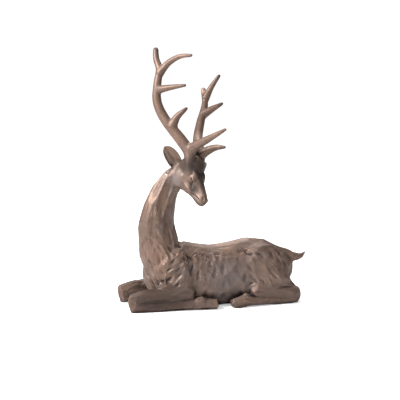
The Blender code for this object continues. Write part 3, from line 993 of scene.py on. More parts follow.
TINTS = (
    # Painted shade on the legs and under the belly, and a more copper knee
    Tint((-84, -40, 14), (78, 28, 40), 0.85, 0.1),
    Tint((-132, -36, 14), (18, 20, 24), 0.10, 0.4),
    Tint((84, -42, 4), (76, 24, 30), 0.34),
    Tint((25, -34, 6), (60, 22, 26), 0.40),
    # Back paler on top as a painted highlight; neck, chest, flank, shoulder and haunch patches paler,
    # darker, warmer or greyer
    Tint((20, 0, 98), (120, 40, 26), -0.40, 0.1),
    Tint((-92, -8, 160), (20, 26, 60), 0.04, 0.2),
    Tint((-76, -26, 158), (14, 14, 44), 0.30, 0.2),
    Tint((-56, -20, 160), (16, 22, 46), -0.20, -0.5),
    Tint((-84, -22, 84), (28, 26, 34), 0.0, 0.5),
    Tint((20, -40, 46), (56, 24, 44), 0.0, -0.6),
    Tint((-48, -40, 50), (26, 20, 36), 0.05, -0.2),
    Tint((80, -42, 50), (40, 20, 34), -0.08, 0.1),
    # Painted shade in the eye's opening, round the eye, on the muzzle's side, on the top of the face and
    # under the jaw
    Tint((1.3, -13, 0.1), (2.8, 6, 2.6), 1.3, 0, Frame.BOWED),
    Tint((4, -12, -6.5), (8, 8, 5), 0.50, 0, Frame.BOWED),
    Tint((14, -10, -3.5), (16, 9, 10), 1.0, 0, Frame.BOWED),
    Tint((2, 0, 9), (30, 14, 11), 0.7, 0, Frame.BOWED),
    Tint((8, 0, -22), (34, 12, 10), 0.45, 0, Frame.BOWED),
    # Shade behind the jaw
    Tint((-33, -15, -24), (7, 9, 8), 0.55, 0, Frame.BOWED),
    Tint((-27, -15, -34), (8, 9, 8), 0.55, 0, Frame.BOWED),
    Tint((-16, -15, -42), (9, 9, 7), 0.55, 0, Frame.BOWED),
    # Nostril, mouth, lip and cheek
    Tint((35, -5, 2), (3.6, 4, 2.8), 0.8, 0, Frame.BOWED),
    Tint((30, -7, -7), (13, 6, 2.4), 0.4, 0, Frame.BOWED),
    Tint((27, -8, -4), (8, 5, 3), -0.15, 0.3, Frame.BOWED),
    Tint((-14, -14, -22), (18, 12, 16), -0.05, -0.5, Frame.BOWED),
    # Painted shade on the forehead, in the ears and at the roots of the ears and antlers
    Tint((-11, 0, 17), (30, 30, 21), 1.15, -0.2, Frame.LEVEL, False),
    Tint((-29, -9, 9), (13, 13, 11), 0.45, 0, Frame.LEVEL),
    Tint((-8, -12, 21), (14, 14, 17), 0.55, 0, Frame.LEVEL, False),
    Tint((-37, -17, 24), (9, 9, 13), 0.30, 0, Frame.LEVEL, False),
    # Painted highlight on the far antler's beam and tip, which are lit from behind, and all of both
    # antlers darker and more copper
    Tint((-30, 23, 56), (17, 17, 27), -0.85, 0.1, Frame.LEVEL, False),
    Tint((-71, 60, 142), (14, 14, 14), -1.1, 0, Frame.LEVEL, False),
    Tint((-32, 0, 110), (115, 100, 95), 0.36, 0.6, Frame.LEVEL, False),
)


class Carving:
    """The figure's skin as arrays of numbers, with the tools that shape it."""

    # How often the skin's directions are averaged into the knife's
    FLOW_ROUNDS = 14
    # How far past its own size a blade is felt, and the slope at which its cut fades out
    REACH = 1.2
    EDGE_ON, FADE = 0.1, 0.5
    # Where the face lies in the head's frame, and how far in from a line its side still counts
    FACE_MIDDLE, FACE_RADIUS = (0, 0, -8), 55
    LINE_DEPTH = 7
    SIDE_SHARPNESS = 3
    # Points on a straight line of the face and of the legs, and how wide a line's trace is
    FACE_STEPS, LEG_STEPS = 8, 12
    TRACE = 3
    # How far one round of stroking takes a corner to the middle of its neighbours
    STROKING = 0.7

    def __init__(self, piece: bpy.types.Object) -> None:
        """Reads the skin.

        Args:
            piece: The figure, in millimetres.
        """
        self.piece = piece
        mesh = piece.data
        self.points = self.read(mesh.vertices, "co", 3)
        self.normals = self.read(mesh.vertex_normals, "vector", 3)
        self.edges = self.read(mesh.edges, "vertices", 2, np.int32)
        self.sunk = np.zeros(len(self.points))
        self.open = np.ones(len(self.points))

    def survey(self, face: Matrix) -> None:
        """Measures the skin as it is now, before the knife work.

        Args:
            face: The head's bowed frame.
        """
        self.write()
        self.normals = self.read(self.piece.data.vertex_normals, "vector", 3)
        self.start = self.points.copy()
        self.flow = self.relaxed(self.normals, self.FLOW_ROUNDS)
        self.flow /= np.linalg.norm(self.flow, axis=1)[:, None]
        self.tree = KDTree(len(self.points))
        for i, point in enumerate(self.points):
            self.tree.insert(point, i)
        self.tree.balance()
        self.in_head = in_frame(self.start, face)
        self.head_flow = self.flow @ np.array(face.inverted().to_3x3()).T

    @staticmethod
    def read(items: bpy.types.bpy_prop_collection, name: str, width: int,
             kind: type = np.float32) -> np.ndarray:
        """Reads one value of every item as an array.

        Args:
            items: A mesh's corners or edges.
            name: The value's name.
            width: How many numbers each value has.
            kind: The kind of number.

        Returns:
            An array of one row for each item.
        """
        out = np.empty(len(items) * width, kind)
        items.foreach_get(name, out)
        out = out.reshape(-1, width)
        return out.astype(float) if kind is np.float32 else out

    def write(self) -> None:
        """Puts the carved points back into the mesh."""
        mesh = self.piece.data
        mesh.vertices.foreach_set("co", self.points.astype(np.float32).ravel())
        mesh.update()

    def keep(self, name: str, values: np.ndarray) -> None:
        """Keeps one number for each corner as a layer of the mesh."""
        layer = self.piece.data.attributes.new(name, "FLOAT", "POINT")
        layer.data.foreach_set("value", values.astype(np.float32))

    def relaxed(self, values: np.ndarray, rounds: int) -> np.ndarray:
        """Averages a value over each corner's neighbours.

        Args:
            values: One row for each corner.
            rounds: How many times it is averaged.

        Returns:
            The averaged values.
        """
        a, b = self.edges[:, 0], self.edges[:, 1]
        count = np.bincount(a, minlength=len(values)) + np.bincount(b, minlength=len(values))
        count = np.maximum(count, 1)
        out = values.copy()
        columns = out.reshape(len(out), -1)
        for _ in range(rounds):
            for k in range(columns.shape[1]):
                column = columns[:, k]
                total = np.bincount(a, column[b], len(column)) + np.bincount(b, column[a], len(column))
                columns[:, k] = 0.5 * column + 0.5 * total / count
        return out

    def cut(self, corner: int, along: np.ndarray, blade: Blade) -> None:
        """Sinks one chip into this pass's depths.

        Args:
            corner: The corner at the middle of the chip.
            along: The stroke's direction.
            blade: The knife.
        """
        normal = self.flow[corner]
        along = along - normal * (along @ normal)
        along /= np.linalg.norm(along)
        across = np.cross(normal, along)
        reach = self.REACH * max(blade.length, blade.width)
        near = np.array([hit[1] for hit in self.tree.find_range(self.start[corner], reach)])
        gaps = self.start[near] - self.start[corner]
        a, b = gaps @ along / blade.length, gaps @ across / blade.width
        b = b / (1 - blade.leaf * np.clip(a, -1, 1))
        lift = gaps @ normal
        dip = blade.depth * (1 - a * a - b * b + blade.lean * b) + np.minimum(lift, 0)
        dip -= np.maximum(lift, 0) ** 2 / blade.width
        facing = (self.flow[near] @ normal - self.EDGE_ON) / self.FADE
        dip *= np.clip(facing, 0, 1) * self.open[near]
        self.sunk[near] = np.maximum(self.sunk[near], dip)

    def finish_pass(self) -> None:
        """Carries the pass's depths into the skin."""
        self.points -= self.flow * self.sunk[:, None]
        self.sunk[:] = 0

    def draw(self, line: Line) -> None:
        """Raises or sinks a line on both sides of the head, as seen from the side.

        Args:
            line: The line, in the bowed frame.
        """
        path = line.path(self.FACE_STEPS)
        away = np.linalg.norm(self.in_head - self.FACE_MIDDLE, axis=1)
        near = np.flatnonzero(away < self.FACE_RADIUS)
        spots = self.in_head[near]
        side = np.sign(spots[:, 1])
        gap = np.linalg.norm(spots[:, None, [0, 2]] - path[None, :, [0, 2]], axis=2)
        which = gap.argmin(axis=1)
        gap = gap.min(axis=1)
        off = np.abs(np.abs(spots[:, 1]) - np.abs(path[which, 1]))
        share = np.exp(-((gap / line.width) ** 2)) * (off < self.LINE_DEPTH)
        share *= np.clip(side * self.head_flow[near, 1] * self.SIDE_SHARPNESS, 0, 1)
        self.points[near] += self.flow[near] * (line.height * share)[:, None]

    def trace(self, line: Line) -> None:
        """Raises or sinks a line that lies on the skin of both flanks.

        Args:
            line: The line, in the clay frame.
        """
        for side in SIDES:
            path = line.path(self.LEG_STEPS) * (1, side, 1)
            margin = self.TRACE * line.width
            low, high = path.min(axis=0) - margin, path.max(axis=0) + margin
            near = np.flatnonzero(np.all((self.start > low) & (self.start < high), axis=1))
            gap = np.linalg.norm(self.start[near][:, None] - path[None], axis=2).min(axis=1)
            share = np.exp(-((gap / line.width) ** 2))
            self.points[near] += self.flow[near] * (line.height * share)[:, None]

    def soften(self, place: Sequence[float], radius: float, rounds: int) -> None:
        """Strokes the skin smooth round a place, more at its middle.

        Args:
            place: The middle.
            radius: How far the stroking reaches.
            rounds: How often the skin is stroked.
        """
        gap = np.linalg.norm(self.points - np.array(place), axis=1) / radius
        share = np.clip(1 - gap, 0, 1)[:, None]
        share = share * share * (3 - 2 * share)
        near = share[:, 0] > 0
        inside = near[self.edges[:, 0]] & near[self.edges[:, 1]]
        names = np.flatnonzero(near)
        index = np.zeros(len(self.points), int)
        index[names] = np.arange(len(names))
        a, b = index[self.edges[inside, 0]], index[self.edges[inside, 1]]
        part, share = self.points[names], share[names]
        count = np.maximum(np.bincount(a, minlength=len(names)) + np.bincount(b, minlength=len(names)), 1)
        for _ in range(rounds):
            total = np.stack([np.bincount(a, part[b, k], len(names))
                              + np.bincount(b, part[a, k], len(names)) for k in range(3)], axis=1)
            part = part + share * self.STROKING * (total / count[:, None] - part)
        self.points[names] = part


@dataclass
class Carver:
    """Plans the knife strokes along the figure's grain and makes them.

    The breast's rings give the chest the neck's grain. The seam is how far one zone's strokes fade
    out into the next, in rounds of averaging.
    """

    BATCH = 6000
    TWIG_STEPS = 4
    # Which of the ear's widths stands for the whole ear
    EAR_STATION = 3
    # The share of a neighbourhood that a zone holds where its strokes begin, and until they are full
    SEAM_START, SEAM_WIDTH = 0.25, 0.5
    # The slant to the skin past which a limb gives a stroke no direction
    HEAD_ON = 0.25
    # How far chance changes a blade's width, length and depth
    WIDTHS, LENGTHS, DEPTHS = (0.75, 1.2), (0.8, 1.2), (0.7, 1.25)
    # How a bundle's strokes fan out and stray, in degrees, and how far they slide along
    FAN, FAN_STRAY, SLIDE = 4, 5, 0.35

    trunk: Trunk
    legs: Legs
    head: Head
    breast: tuple = (Ring(-80, 0, 80, 30, 30), Ring(-84, 0, 55, 33, 33), Ring(-78, 0, 28, 27, 27))
    seed: int = 11
    candidates: int = 24000
    seam: int = 90

    def __post_init__(self) -> None:
        """Lists points along every limb, with their direction, radius and zone."""
        bowed, level = self.head.place(bowed=True), self.head.place(bowed=False)
        limbs = [(self.trunk.torso, Zone.TORSO, None), (self.trunk.neck, Zone.NECK, None),
                 (self.trunk.tail, Zone.TAIL, None), (self.head.skull, Zone.HEAD, bowed),
                 (self.breast, Zone.NECK, None)]
        for bone in self.legs.bones():
            limbs.append((bone, Zone.LEG, None))
            limbs.append(([mirrored(ring) for ring in bone], Zone.LEG, None))
        samples = []

        def sample(points: Sequence[Vector], zone: Zone, thick: Sequence[float]) -> None:
            """Lists the points along one limb."""
            for before, after, radius in zip(points, points[1:], thick):
                samples.append((before, (after - before).normalized(), zone, radius))

        for rings, zone, turn in limbs:
            rows = smooth_run(rings, Clay.LIMB_STEPS)
            points = [turn @ Vector(row[:3]) if turn else Vector(row[:3]) for row in rows]
            pick = max if zone is Zone.HEAD else min
            sample(points, zone, [pick(ring.wide, ring.deep) for ring in (Ring(*row) for row in rows)])
        thin = [(branch.points, (branch.root + branch.tip) / 2)
                for branch in NEAR_BRANCHES + FAR_BRANCHES]
        thick = self.head.ear_widths[self.EAR_STATION]
        thin += [(ear, thick) for ear in (self.head.near_ear, self.head.far_ear)]
        for points, thick in thin:
            path = [level @ Vector(point) for point in smooth_run(points, self.TWIG_STEPS)]
            sample(path, Zone.HEAD, [thick] * len(path))
        places, directions, self.zones, radii = zip(*samples)
        self.places, self.directions, self.radii = map(np.array, (places, directions, radii))

    def owners(self, points: np.ndarray) -> np.ndarray:
        """Finds the limb that each point belongs to.

        Args:
            points: Points of the skin.

        Returns:
            The index of the nearest limb sample for each point.
        """
        out = np.empty(len(points), int)
        for start in range(0, len(points), self.BATCH):
            part = points[start : start + self.BATCH]
            gaps = np.linalg.norm(part[:, None] - self.places[None], axis=2) / self.radii
            out[start : start + self.BATCH] = gaps.argmin(axis=1)
        return out

    def work(self, skin: Carving) -> int:
        """Makes every round of strokes: broad facets, then gouges, then fine scores.

        Args:
            skin: The figure's skin.

        Returns:
            How many strokes were made.
        """
        dice = np.random.default_rng(self.seed)
        corners = dice.permutation(len(skin.points))[: self.candidates]
        owners = self.owners(skin.start)
        kinds = np.array([zone.value for zone in self.zones])[owners]
        own = {}
        for zone in Zone:
            share = skin.relaxed((kinds == zone.value).astype(float), self.seam)
            own[zone] = np.clip((share - self.SEAM_START) / self.SEAM_WIDTH, 0, 1)
        known = [(int(c), self.directions[owners[c]], self.zones[owners[c]]) for c in corners]
        made = 0
        for stage in (FACETS, GOUGES, SCORES):
            for task in stage:
                skin.open = own[task.zone]
                made += self.round(skin, task, known, dice)
            skin.finish_pass()
        return made

    def round(self, skin: Carving, task: Pass, known: Sequence, dice: np.random.Generator) -> int:
        """Makes one pass of strokes, each clear of those before it.

        Args:
            skin: The figure's skin.
            task: The pass.
            known: Corners with their limb's direction and zone.
            dice: The source of chance.

        Returns:
            How many strokes were made.
        """
        made = 0
        places = np.empty((0, 3))
        for corner, direction, zone in known:
            point = skin.start[corner]
            if zone is not task.zone or not task.covers(point):
                continue
            stroke = self.stroke(skin.flow[corner], direction, task, dice)
            if stroke is None:
                continue
            gaps = places - point
            aside = np.cross(skin.flow[corner], stroke)
            spread = ((gaps @ stroke / task.spacing[0]) ** 2 + (gaps @ aside / task.spacing[1]) ** 2
                      + (gaps @ skin.flow[corner] / task.spacing[1]) ** 2)
            if len(places) and spread.min() < 1:
                continue
            places = np.vstack([places, point])
            if dice.uniform() < task.share:
                made += self.bundle(skin, corner, stroke, aside, task, dice)
        return made

    def stroke(self, normal: np.ndarray, direction: np.ndarray, task: Pass,
               dice: np.random.Generator) -> np.ndarray | None:
        """Picks a stroke's direction.

        Args:
            normal: The skin's direction there.
            direction: The limb's direction there.
            task: The pass.
            dice: The source of chance.

        Returns:
            The direction, or None where the limb points straight out.
        """
        across = np.cross(normal, direction)
        size = np.linalg.norm(across)
        if size < self.HEAD_ON:
            return None
        across /= size
        along = np.cross(across, normal)
        side = 1.0 if normal[1] < 0 else -1.0
        swing = math.radians(side * task.slant + dice.uniform(-task.stray, task.stray))
        return math.cos(swing) * along + math.sin(swing) * across

    def bundle(self, skin: Carving, corner: int, stroke: np.ndarray, aside: np.ndarray,
               task: Pass, dice: np.random.Generator) -> int:
        """Makes one stroke, or several side by side.

        Args:
            skin: The figure's skin.
            corner: The corner at the middle.
            stroke: The strokes' direction.
            aside: The direction across them.
            task: The pass.
            dice: The source of chance.

        Returns:
            How many strokes were made.
        """
        blade = task.blade
        for k in range(task.strokes):
            out = k - (task.strokes - 1) / 2
            size = dice.uniform(*self.WIDTHS)
            fan = math.radians(dice.uniform(-self.FAN_STRAY, self.FAN_STRAY) + out * self.FAN)
            turned = stroke * math.cos(fan) + aside * math.sin(fan)
            knife = Blade(blade.length * dice.uniform(*self.LENGTHS), blade.width * size,
                          blade.depth * dice.uniform(*self.DEPTHS), blade.leaf, blade.lean)
            spot = corner
            if task.strokes > 1:
                slide = stroke * dice.uniform(-self.SLIDE, self.SLIDE) * blade.length
                _, spot, _ = skin.tree.find(skin.start[corner] + aside * (out * task.pitch) + slide)
            skin.cut(spot, turned, knife)
        return task.strokes


class Patch(NamedTuple):
    """Patches of one colour: its name, their scale and shift, and where they begin and are full."""

    colour: str
    scale: float
    shift: float
    low: float
    high: float


class Coat(NamedTuple):
    """A coat laid on by a mask, some of paint and one of painted shade: its name, the mesh layer that it
    follows, where and which paint.
    """

    name: str
    layer: str
    low: float
    high: float
    paint: str


@dataclass(frozen=True)
class BronzedResin:
    """The finish: dark bronze paint on resin, rubbed pale on the ridges, washed dark in the hollows, and
    darker low down and where closed in as painted shade.
    """

    deep: tuple = (0.026, 0.015, 0.011, 1.0)
    body: tuple = (0.128, 0.082, 0.063, 1.0)
    copper: tuple = (0.22, 0.128, 0.086, 1.0)
    cool: tuple = (0.135, 0.112, 0.108, 1.0)
    # The pale of paint rubbed thin on the ridges, also the colour of the painted highlights in the tints
    rubbed_and_highlight: tuple = (0.40, 0.29, 0.23, 1.0)
    patches: tuple = (Patch("Copper", 1.0, 0.0, 0.50, 0.64), Patch("Cool", 1.6, 3.0, 0.53, 0.66),
                      Patch("Deep", 2.5, 7.0, 0.52, 0.68))
    coats: tuple = (
        Coat("dark_wash", "hollow", 0.25, 1.05, "deep"),
        # Painted shade: the deep colour where the skin is closed in by its own parts and by the floor
        Coat("painted_shade", "shade", 0.36, 0.74, "deep"),
        Coat("rubbed_ridges", "ridge", 0.5, 1.9, "rubbed_and_highlight"),
    )
    patch_share: float = 0.50
    patch_scale: float = 45.0
    break_up: float = 0.35
    break_scale: float = 420.0
    roughness: tuple = (0.50, 0.66)
    metallic: float = 0.42
    grain_height: float = 0.00012
    grain_scale: float = 900.0
    grain_strength: float = 0.6

    def colours(self, *names: str) -> dict:
        """Returns group inputs for some of the finish's colours."""
        return {name.capitalize(): ("Color", getattr(self, name)) for name in names}

    def patina(self) -> bpy.types.NodeTree:
        """Builds the mottled paint: copper, cool and dark patches over the body colour.

        Returns:
            The node group, which gives the colour and where the paint is duller.
        """
        tree = bpy.data.node_groups.new("mottled_patina", "ShaderNodeTree")
        inputs = self.colours("deep", "body", "copper", "cool")
        wires = Wiring(tree, {**inputs, "Patch Scale": ("Float", self.patch_scale)},
                       {"Color": "Color", "Gloss": "Float"})
        colour, masks = wires.given["Body"], {}
        for patch in self.patches:
            scale = wires.reckon("MULTIPLY", wires.given["Patch Scale"], patch.scale)
            noise = wires.noise({"Scale": scale, "W": patch.shift, "Detail": 4.0, "Roughness": 0.55},
                                noise_dimensions="4D")
            masks[patch.colour] = wires.ramp(noise, patch.low, patch.high)
            share = wires.reckon("MULTIPLY", masks[patch.colour], self.patch_share)
            colour = wires.blend(share, colour, wires.given[patch.colour])
        wires.feed(wires.made, {"Color": colour, "Gloss": masks["Cool"]})
        return tree

    def mask(self, coat: Coat) -> bpy.types.NodeTree:
        """Builds a coat's mask from a layer of the mesh, broken up as a brush leaves it.

        Args:
            coat: The coat.

        Returns:
            The node group.
        """
        tree = bpy.data.node_groups.new(coat.name, "ShaderNodeTree")
        wires = Wiring(tree, {"Low": ("Float", coat.low), "High": ("Float", coat.high),
                              "Break Up": ("Float", self.break_up),
                              "Break Scale": ("Float", self.break_scale)}, {"Mask": "Float"})
        given = wires.given
        noise = wires.noise({"Scale": given["Break Scale"], "Detail": 3.0})
        level = wires.reckon("SUBTRACT", noise, NOISE_LEVEL)
        sway = wires.reckon("MULTIPLY_ADD", level, given["Break Up"], wires.layer(coat.layer))
        wires.feed(wires.made, {"Mask": wires.ramp(sway, given["Low"], given["High"], "SMOOTHSTEP")})
        return tree

    def tint(self) -> bpy.types.NodeTree:
        """Builds the broad tints: copper and grey patches, paler and darker ones, with painted shade and
        painted highlights among them.

        Returns:
            The node group, which tints a colour.
        """
        tree = bpy.data.node_groups.new("tints_and_painted_light", "ShaderNodeTree")
        inputs = {"Color": ("Color", self.body), **self.colours("copper", "cool"),
                  "Pale": ("Color", self.rubbed_and_highlight), "Dark": ("Color", self.deep)}
        wires = Wiring(tree, inputs, {"Color": "Color"})
        colour = wires.given["Color"]
        for layer, name, full in (("warmth", "Copper", 1.0), ("warmth", "Cool", 0.0),
                                  ("tint", "Pale", 0.0), ("tint", "Dark", 1.0)):
            share = wires.ramp(wires.layer(layer), NEUTRAL, full)
            colour = wires.blend(share, colour, wires.given[name])
        wires.feed(wires.made, {"Color": colour})
        return tree

    def grain(self) -> bpy.types.NodeTree:
        """Builds the casting's fine grain.

        Returns:
            The node group, which gives a height in metres.
        """
        tree = bpy.data.node_groups.new("cast_grain", "ShaderNodeTree")
        wires = Wiring(tree, {"Height": ("Float", self.grain_height),
                              "Scale": ("Float", self.grain_scale)}, {"Height": "Float"})
        noise = wires.noise({"Scale": wires.given["Scale"], "Detail": 5.0, "Roughness": 0.6})
        wires.feed(wires.made, {"Height": wires.reckon("MULTIPLY", noise, wires.given["Height"])})
        return tree

    def material(self) -> bpy.types.Material:
        """Mixes the finish: patina, washed dark in the hollows and with painted shade where closed in,
        rubbed on the ridges, then tinted.

        Returns:
            The finished material.
        """
        finish = bpy.data.materials.new(SLOT)
        finish.use_nodes = True
        wires = Wiring(finish.node_tree)

        def placed(group: bpy.types.NodeTree) -> bpy.types.Node:
            """Places a node group in the material."""
            return wires.node("ShaderNodeGroup", node_tree=group)

        patina, tint = placed(self.patina()), placed(self.tint())
        colour = patina.outputs["Color"]
        for coat in self.coats:
            mask = placed(self.mask(coat)).outputs["Mask"]
            colour = wires.blend(mask, colour, getattr(self, coat.paint))
        wires.feed(tint, {"Color": colour})
        rough = wires.node("ShaderNodeMapRange", {
            "Value": patina.outputs["Gloss"], "To Min": self.roughness[0], "To Max": self.roughness[1]})
        bump = wires.node("ShaderNodeBump", {
            "Height": placed(self.grain()).outputs["Height"], "Distance": 1.0,
            "Strength": self.grain_strength})
        wires.feed(finish.node_tree.nodes["Principled BSDF"], {
            "Base Color": tint.outputs["Color"],
            "Roughness": rough.outputs["Result"],
            "Normal": bump.outputs["Normal"],
            "Metallic": self.metallic,
        })
        return finish


@dataclass
class Stag:
    """The whole figurine: its clay, its carving and its finish.

    The sizes that end in soft are how far the skin is stroked round a place, and how often: at an
    antler's fork as a multiple of the branch's radius, along an ear, on the face and on the limbs.
    Those that start with shade set the rays that look out from one corner in shade_step, and how
    much the floor counts. The tints of tips and rims are a radius and an amount.
    """

    trunk: Trunk = field(default_factory=Trunk)
    legs: Legs = field(default_factory=Legs)
    head: Head = field(default_factory=Head)
    finish: BronzedResin = field(default_factory=BronzedResin)
    antler_seeds: tuple = (3, 8)
    skin_voxel: float = 0.8
    skin_smoothing: int = 1
    fork_soft: tuple = (2.4, 40)
    ear_soft: tuple = ((15, 20), (36, 6))
    face_soft: int = 50
    limb_soft: int = 60
    triangles: int = 190000
    ridge_size: float = 0.16
    hollow_size: float = 0.9
    fine_rounds: int = 4
    broad_rounds: int = 60
    layer_limit: float = 2.0
    tip_tint: tuple = (11, 0.5)
    rim_tint: tuple = (3, 0.22)
    tint_fade: float = 1.5
    sharp_angle: float = math.radians(38)
    shade_seed: int = 5
    shade_step: int = 30
    shade_rays: int = 20
    shade_reach: float = 45.0
    shade_lift: float = 0.8
    shade_lean: float = 1.05
    shade_floor: float = 0.6
    shade_posts: int = 3

    def model(self) -> bpy.types.Object:
        """Models, carves and dresses the figurine.

        Returns:
            The finished piece, in metres in the CAD's frame.
        """
        material = self.finish.material()
        antlers = [Antler(name, branches, seed).model(self.head, material) for name, branches, seed in
                   zip(("near_antler", "far_antler"), (NEAR_BRANCHES, FAR_BRANCHES), self.antler_seeds)]
        log.info("antlers swept: %d faces", sum(len(a.data.polygons) for a in antlers))
        clay = [self.trunk.model(), self.legs.model(), self.head.model(), self.head.ears()]
        log.info("clay modelled")
        stag = kneaded(joined(clay + antlers, "carved_stag"), self.skin_voxel, self.skin_smoothing)
        log.info("skin fused: %d corners", len(stag.data.vertices))
        skin = Carving(stag)
        self.stroke(skin)
        skin.survey(self.head.place(bowed=True))
        self.carve_details(skin)
        made = Carver(self.trunk, self.legs, self.head).work(skin)
        log.info("knife strokes: %d", made)
        self.measure(skin)
        self.tint(skin)
        skin.write()
        self.shade(skin)
        self.flatten(stag)
        self.thin(stag)
        self.settle(stag)
        stag.data.materials.clear()
        stag.data.materials.append(material)
        log.info("%s: %d triangles", stag.name, len(stag.data.polygons))
        return stag

    def stroke(self, skin: Carving) -> None:
        """Strokes the skin smooth at the antlers' forks, on the ears and where limbs meet.

        Args:
            skin: The fused skin.
        """
        level, bowed = self.head.place(bowed=False), self.head.place(bowed=True)
        for branches in (NEAR_BRANCHES, FAR_BRANCHES):
            for branch in branches:
                root = branch.points[1 if branch is branches[0] else 0]
                skin.soften(level @ Vector(root), self.fork_soft[0] * branch.root, self.fork_soft[1])
        for ear in (self.head.near_ear, self.head.far_ear):
            for place, (radius, rounds) in zip(ear, self.ear_soft):
                skin.soften(level @ Vector(place), radius, rounds)
        for side in SIDES:
            for place, radius in FACE_SOFT_PLACES:
                skin.soften(bowed @ Vector(on_side(place, side)), radius, self.face_soft)
        for place, radius in LIMB_SOFT_PLACES:
            for side in SIDES:
                skin.soften(on_side(place, side), radius, self.limb_soft)

    def carve_details(self, skin: Carving) -> None:
        """Cuts the face's planes and draws the lines of the face and the legs.

        Args:
            skin: The surveyed skin.
        """
        bowed = self.head.place(bowed=True)
        for middle, along, blade in FACE_CUTS:
            for side in SIDES:
                spot = skin.tree.find(bowed @ Vector(on_side(middle, side)))[1]
                skin.cut(spot, np.array(bowed.to_3x3() @ Vector(on_side(along, side))), blade)
        skin.finish_pass()
        for line in FACE_LINES:
            skin.draw(line)
        for line in LEG_LINES:
            skin.trace(line)

    def measure(self, skin: Carving) -> None:
        """Measures the ridges and hollows and keeps them as layers of the mesh.

        Args:
            skin: The carved skin.
        """
        normal = skin.relaxed(skin.normals, self.fine_rounds)
        for name, rounds, size in (("ridge", self.fine_rounds, self.ridge_size),
                                   ("hollow", self.broad_rounds, -self.hollow_size)):
            stand = np.einsum("ij,ij->i", skin.points - skin.relaxed(skin.points, rounds), normal)
            skin.keep(name, np.clip(stand / size, -self.layer_limit, self.layer_limit))

    def tint(self, skin: Carving) -> None:
        """Keeps the tints as layers of the mesh: painted shade, painted highlights and the paint's own
        patches.

        Args:
            skin: The carved skin.
        """
        tips = [branch.points[-1] for branch in NEAR_BRANCHES + FAR_BRANCHES]
        edges = [Tint(point, (radius,) * 3, amount, 0, Frame.LEVEL, False)
                 for points, (radius, amount) in ((tips, self.tip_tint), (self.head.rims, self.rim_tint))
                 for point in points]
        places = {Frame.CLAY: Matrix.Identity(4), Frame.LEVEL: self.head.place(bowed=False),
                  Frame.BOWED: self.head.place(bowed=True)}
        spots = {name: in_frame(skin.points, place) for name, place in places.items()}
        tone, warmth = np.zeros(len(skin.points)), np.zeros(len(skin.points))
        for tint in (*TINTS, *edges):
            centre = np.array(tint.centre, float)
            for side in (SIDES if tint.paired and tint.centre[1] else SIDES[:1]):
                gap = (spots[tint.frame] - centre * (1, side, 1)) / tint.radii
                share = np.clip(1 - (gap**2).sum(axis=1), 0, 1) ** self.tint_fade
                tone += tint.amount * share
                warmth += tint.warmth * share
        for name, values in (("tint", tone), ("warmth", warmth)):
            skin.keep(name, NEUTRAL + np.clip(values, -1, 1) / 2)

    def shade(self, skin: Carving) -> None:
        """Measures how closed in each part of the skin is, by looking out from it, for the painted shade.

        Args:
            skin: The carved skin.
        """
        faces = [tuple(face.vertices) for face in skin.piece.data.polygons]
        walls = BVHTree.FromPolygons([tuple(point) for point in skin.points], faces)
        posts = np.arange(0, len(skin.points), self.shade_step)
        rays = np.random.default_rng(self.shade_seed).normal(size=(self.shade_rays, 3))
        rays /= np.linalg.norm(rays, axis=1)[:, None]
        tree = KDTree(len(posts))
        closed = np.zeros(len(posts))
        for i, corner in enumerate(posts):
            point, normal = skin.points[corner], skin.flow[corner]
            tree.insert(point, i)
            start = Vector(point + normal * self.shade_lift)
            for ray in rays:
                look = ray + normal * self.shade_lean
                look /= np.linalg.norm(look)
                if look[2] < 0 and start.z < -look[2] * self.shade_reach:
                    closed[i] += self.shade_floor
                elif walls.ray_cast(start, Vector(look), self.shade_reach)[0] is not None:
                    closed[i] += 1
        tree.balance()
        closed /= self.shade_rays
        values = np.array([np.mean([closed[hit[1]] for hit in tree.find_n(point, self.shade_posts)])
                           for point in skin.points])
        skin.keep("shade", skin.relaxed(values[:, None], self.fine_rounds)[:, 0])

    def flatten(self, stag: bpy.types.Object) -> None:
        """Cuts the figure off flat at the floor.

        Args:
            stag: The figure, in millimetres.
        """
        points = Carving.read(stag.data.vertices, "co", 3)
        points[:, 2] = np.maximum(points[:, 2], 0.0)
        stag.data.vertices.foreach_set("co", points.astype(np.float32).ravel())

    def thin(self, stag: bpy.types.Object) -> None:
        """Brings the skin down to its share of triangles.

        Args:
            stag: The figure.
        """
        thin = stag.modifiers.new("Thin", "DECIMATE")
        thin.ratio = self.triangles / sum(len(face.vertices) - 2 for face in stag.data.polygons)
        thin.use_collapse_triangulate = True
        applied(stag)

    def settle(self, stag: bpy.types.Object) -> None:
        """Sets the figure into the CAD's box, in metres, and smooths all but its sharp edges.

        Args:
            stag: The figure, in millimetres.
        """
        low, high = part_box(NODE)
        middle = (Vector(low) + Vector(high)) / 2
        shift = Matrix.Translation((middle.x, middle.y, low[2]))
        clay = Matrix.Translation((-CLAY_MIDDLE[0], -CLAY_MIDDLE[1], 0))
        stag.data.transform(shift @ Matrix.Scale(MILLIMETRE, 4) @ clay)
        shape = bmesh.new()
        shape.from_mesh(stag.data)
        for face in shape.faces:
            face.smooth = True
        for edge in shape.edges:
            edge.smooth = edge.calc_face_angle(0.0) < self.sharp_angle
        shape.to_mesh(stag.data)
        shape.free()


class Softbox(NamedTuple):
    """A lamp: degrees round and above the figure, metres away, metres wide, and its watts."""

    name: str
    azimuth: float
    elevation: float
    distance: float
    size: float
    power: float


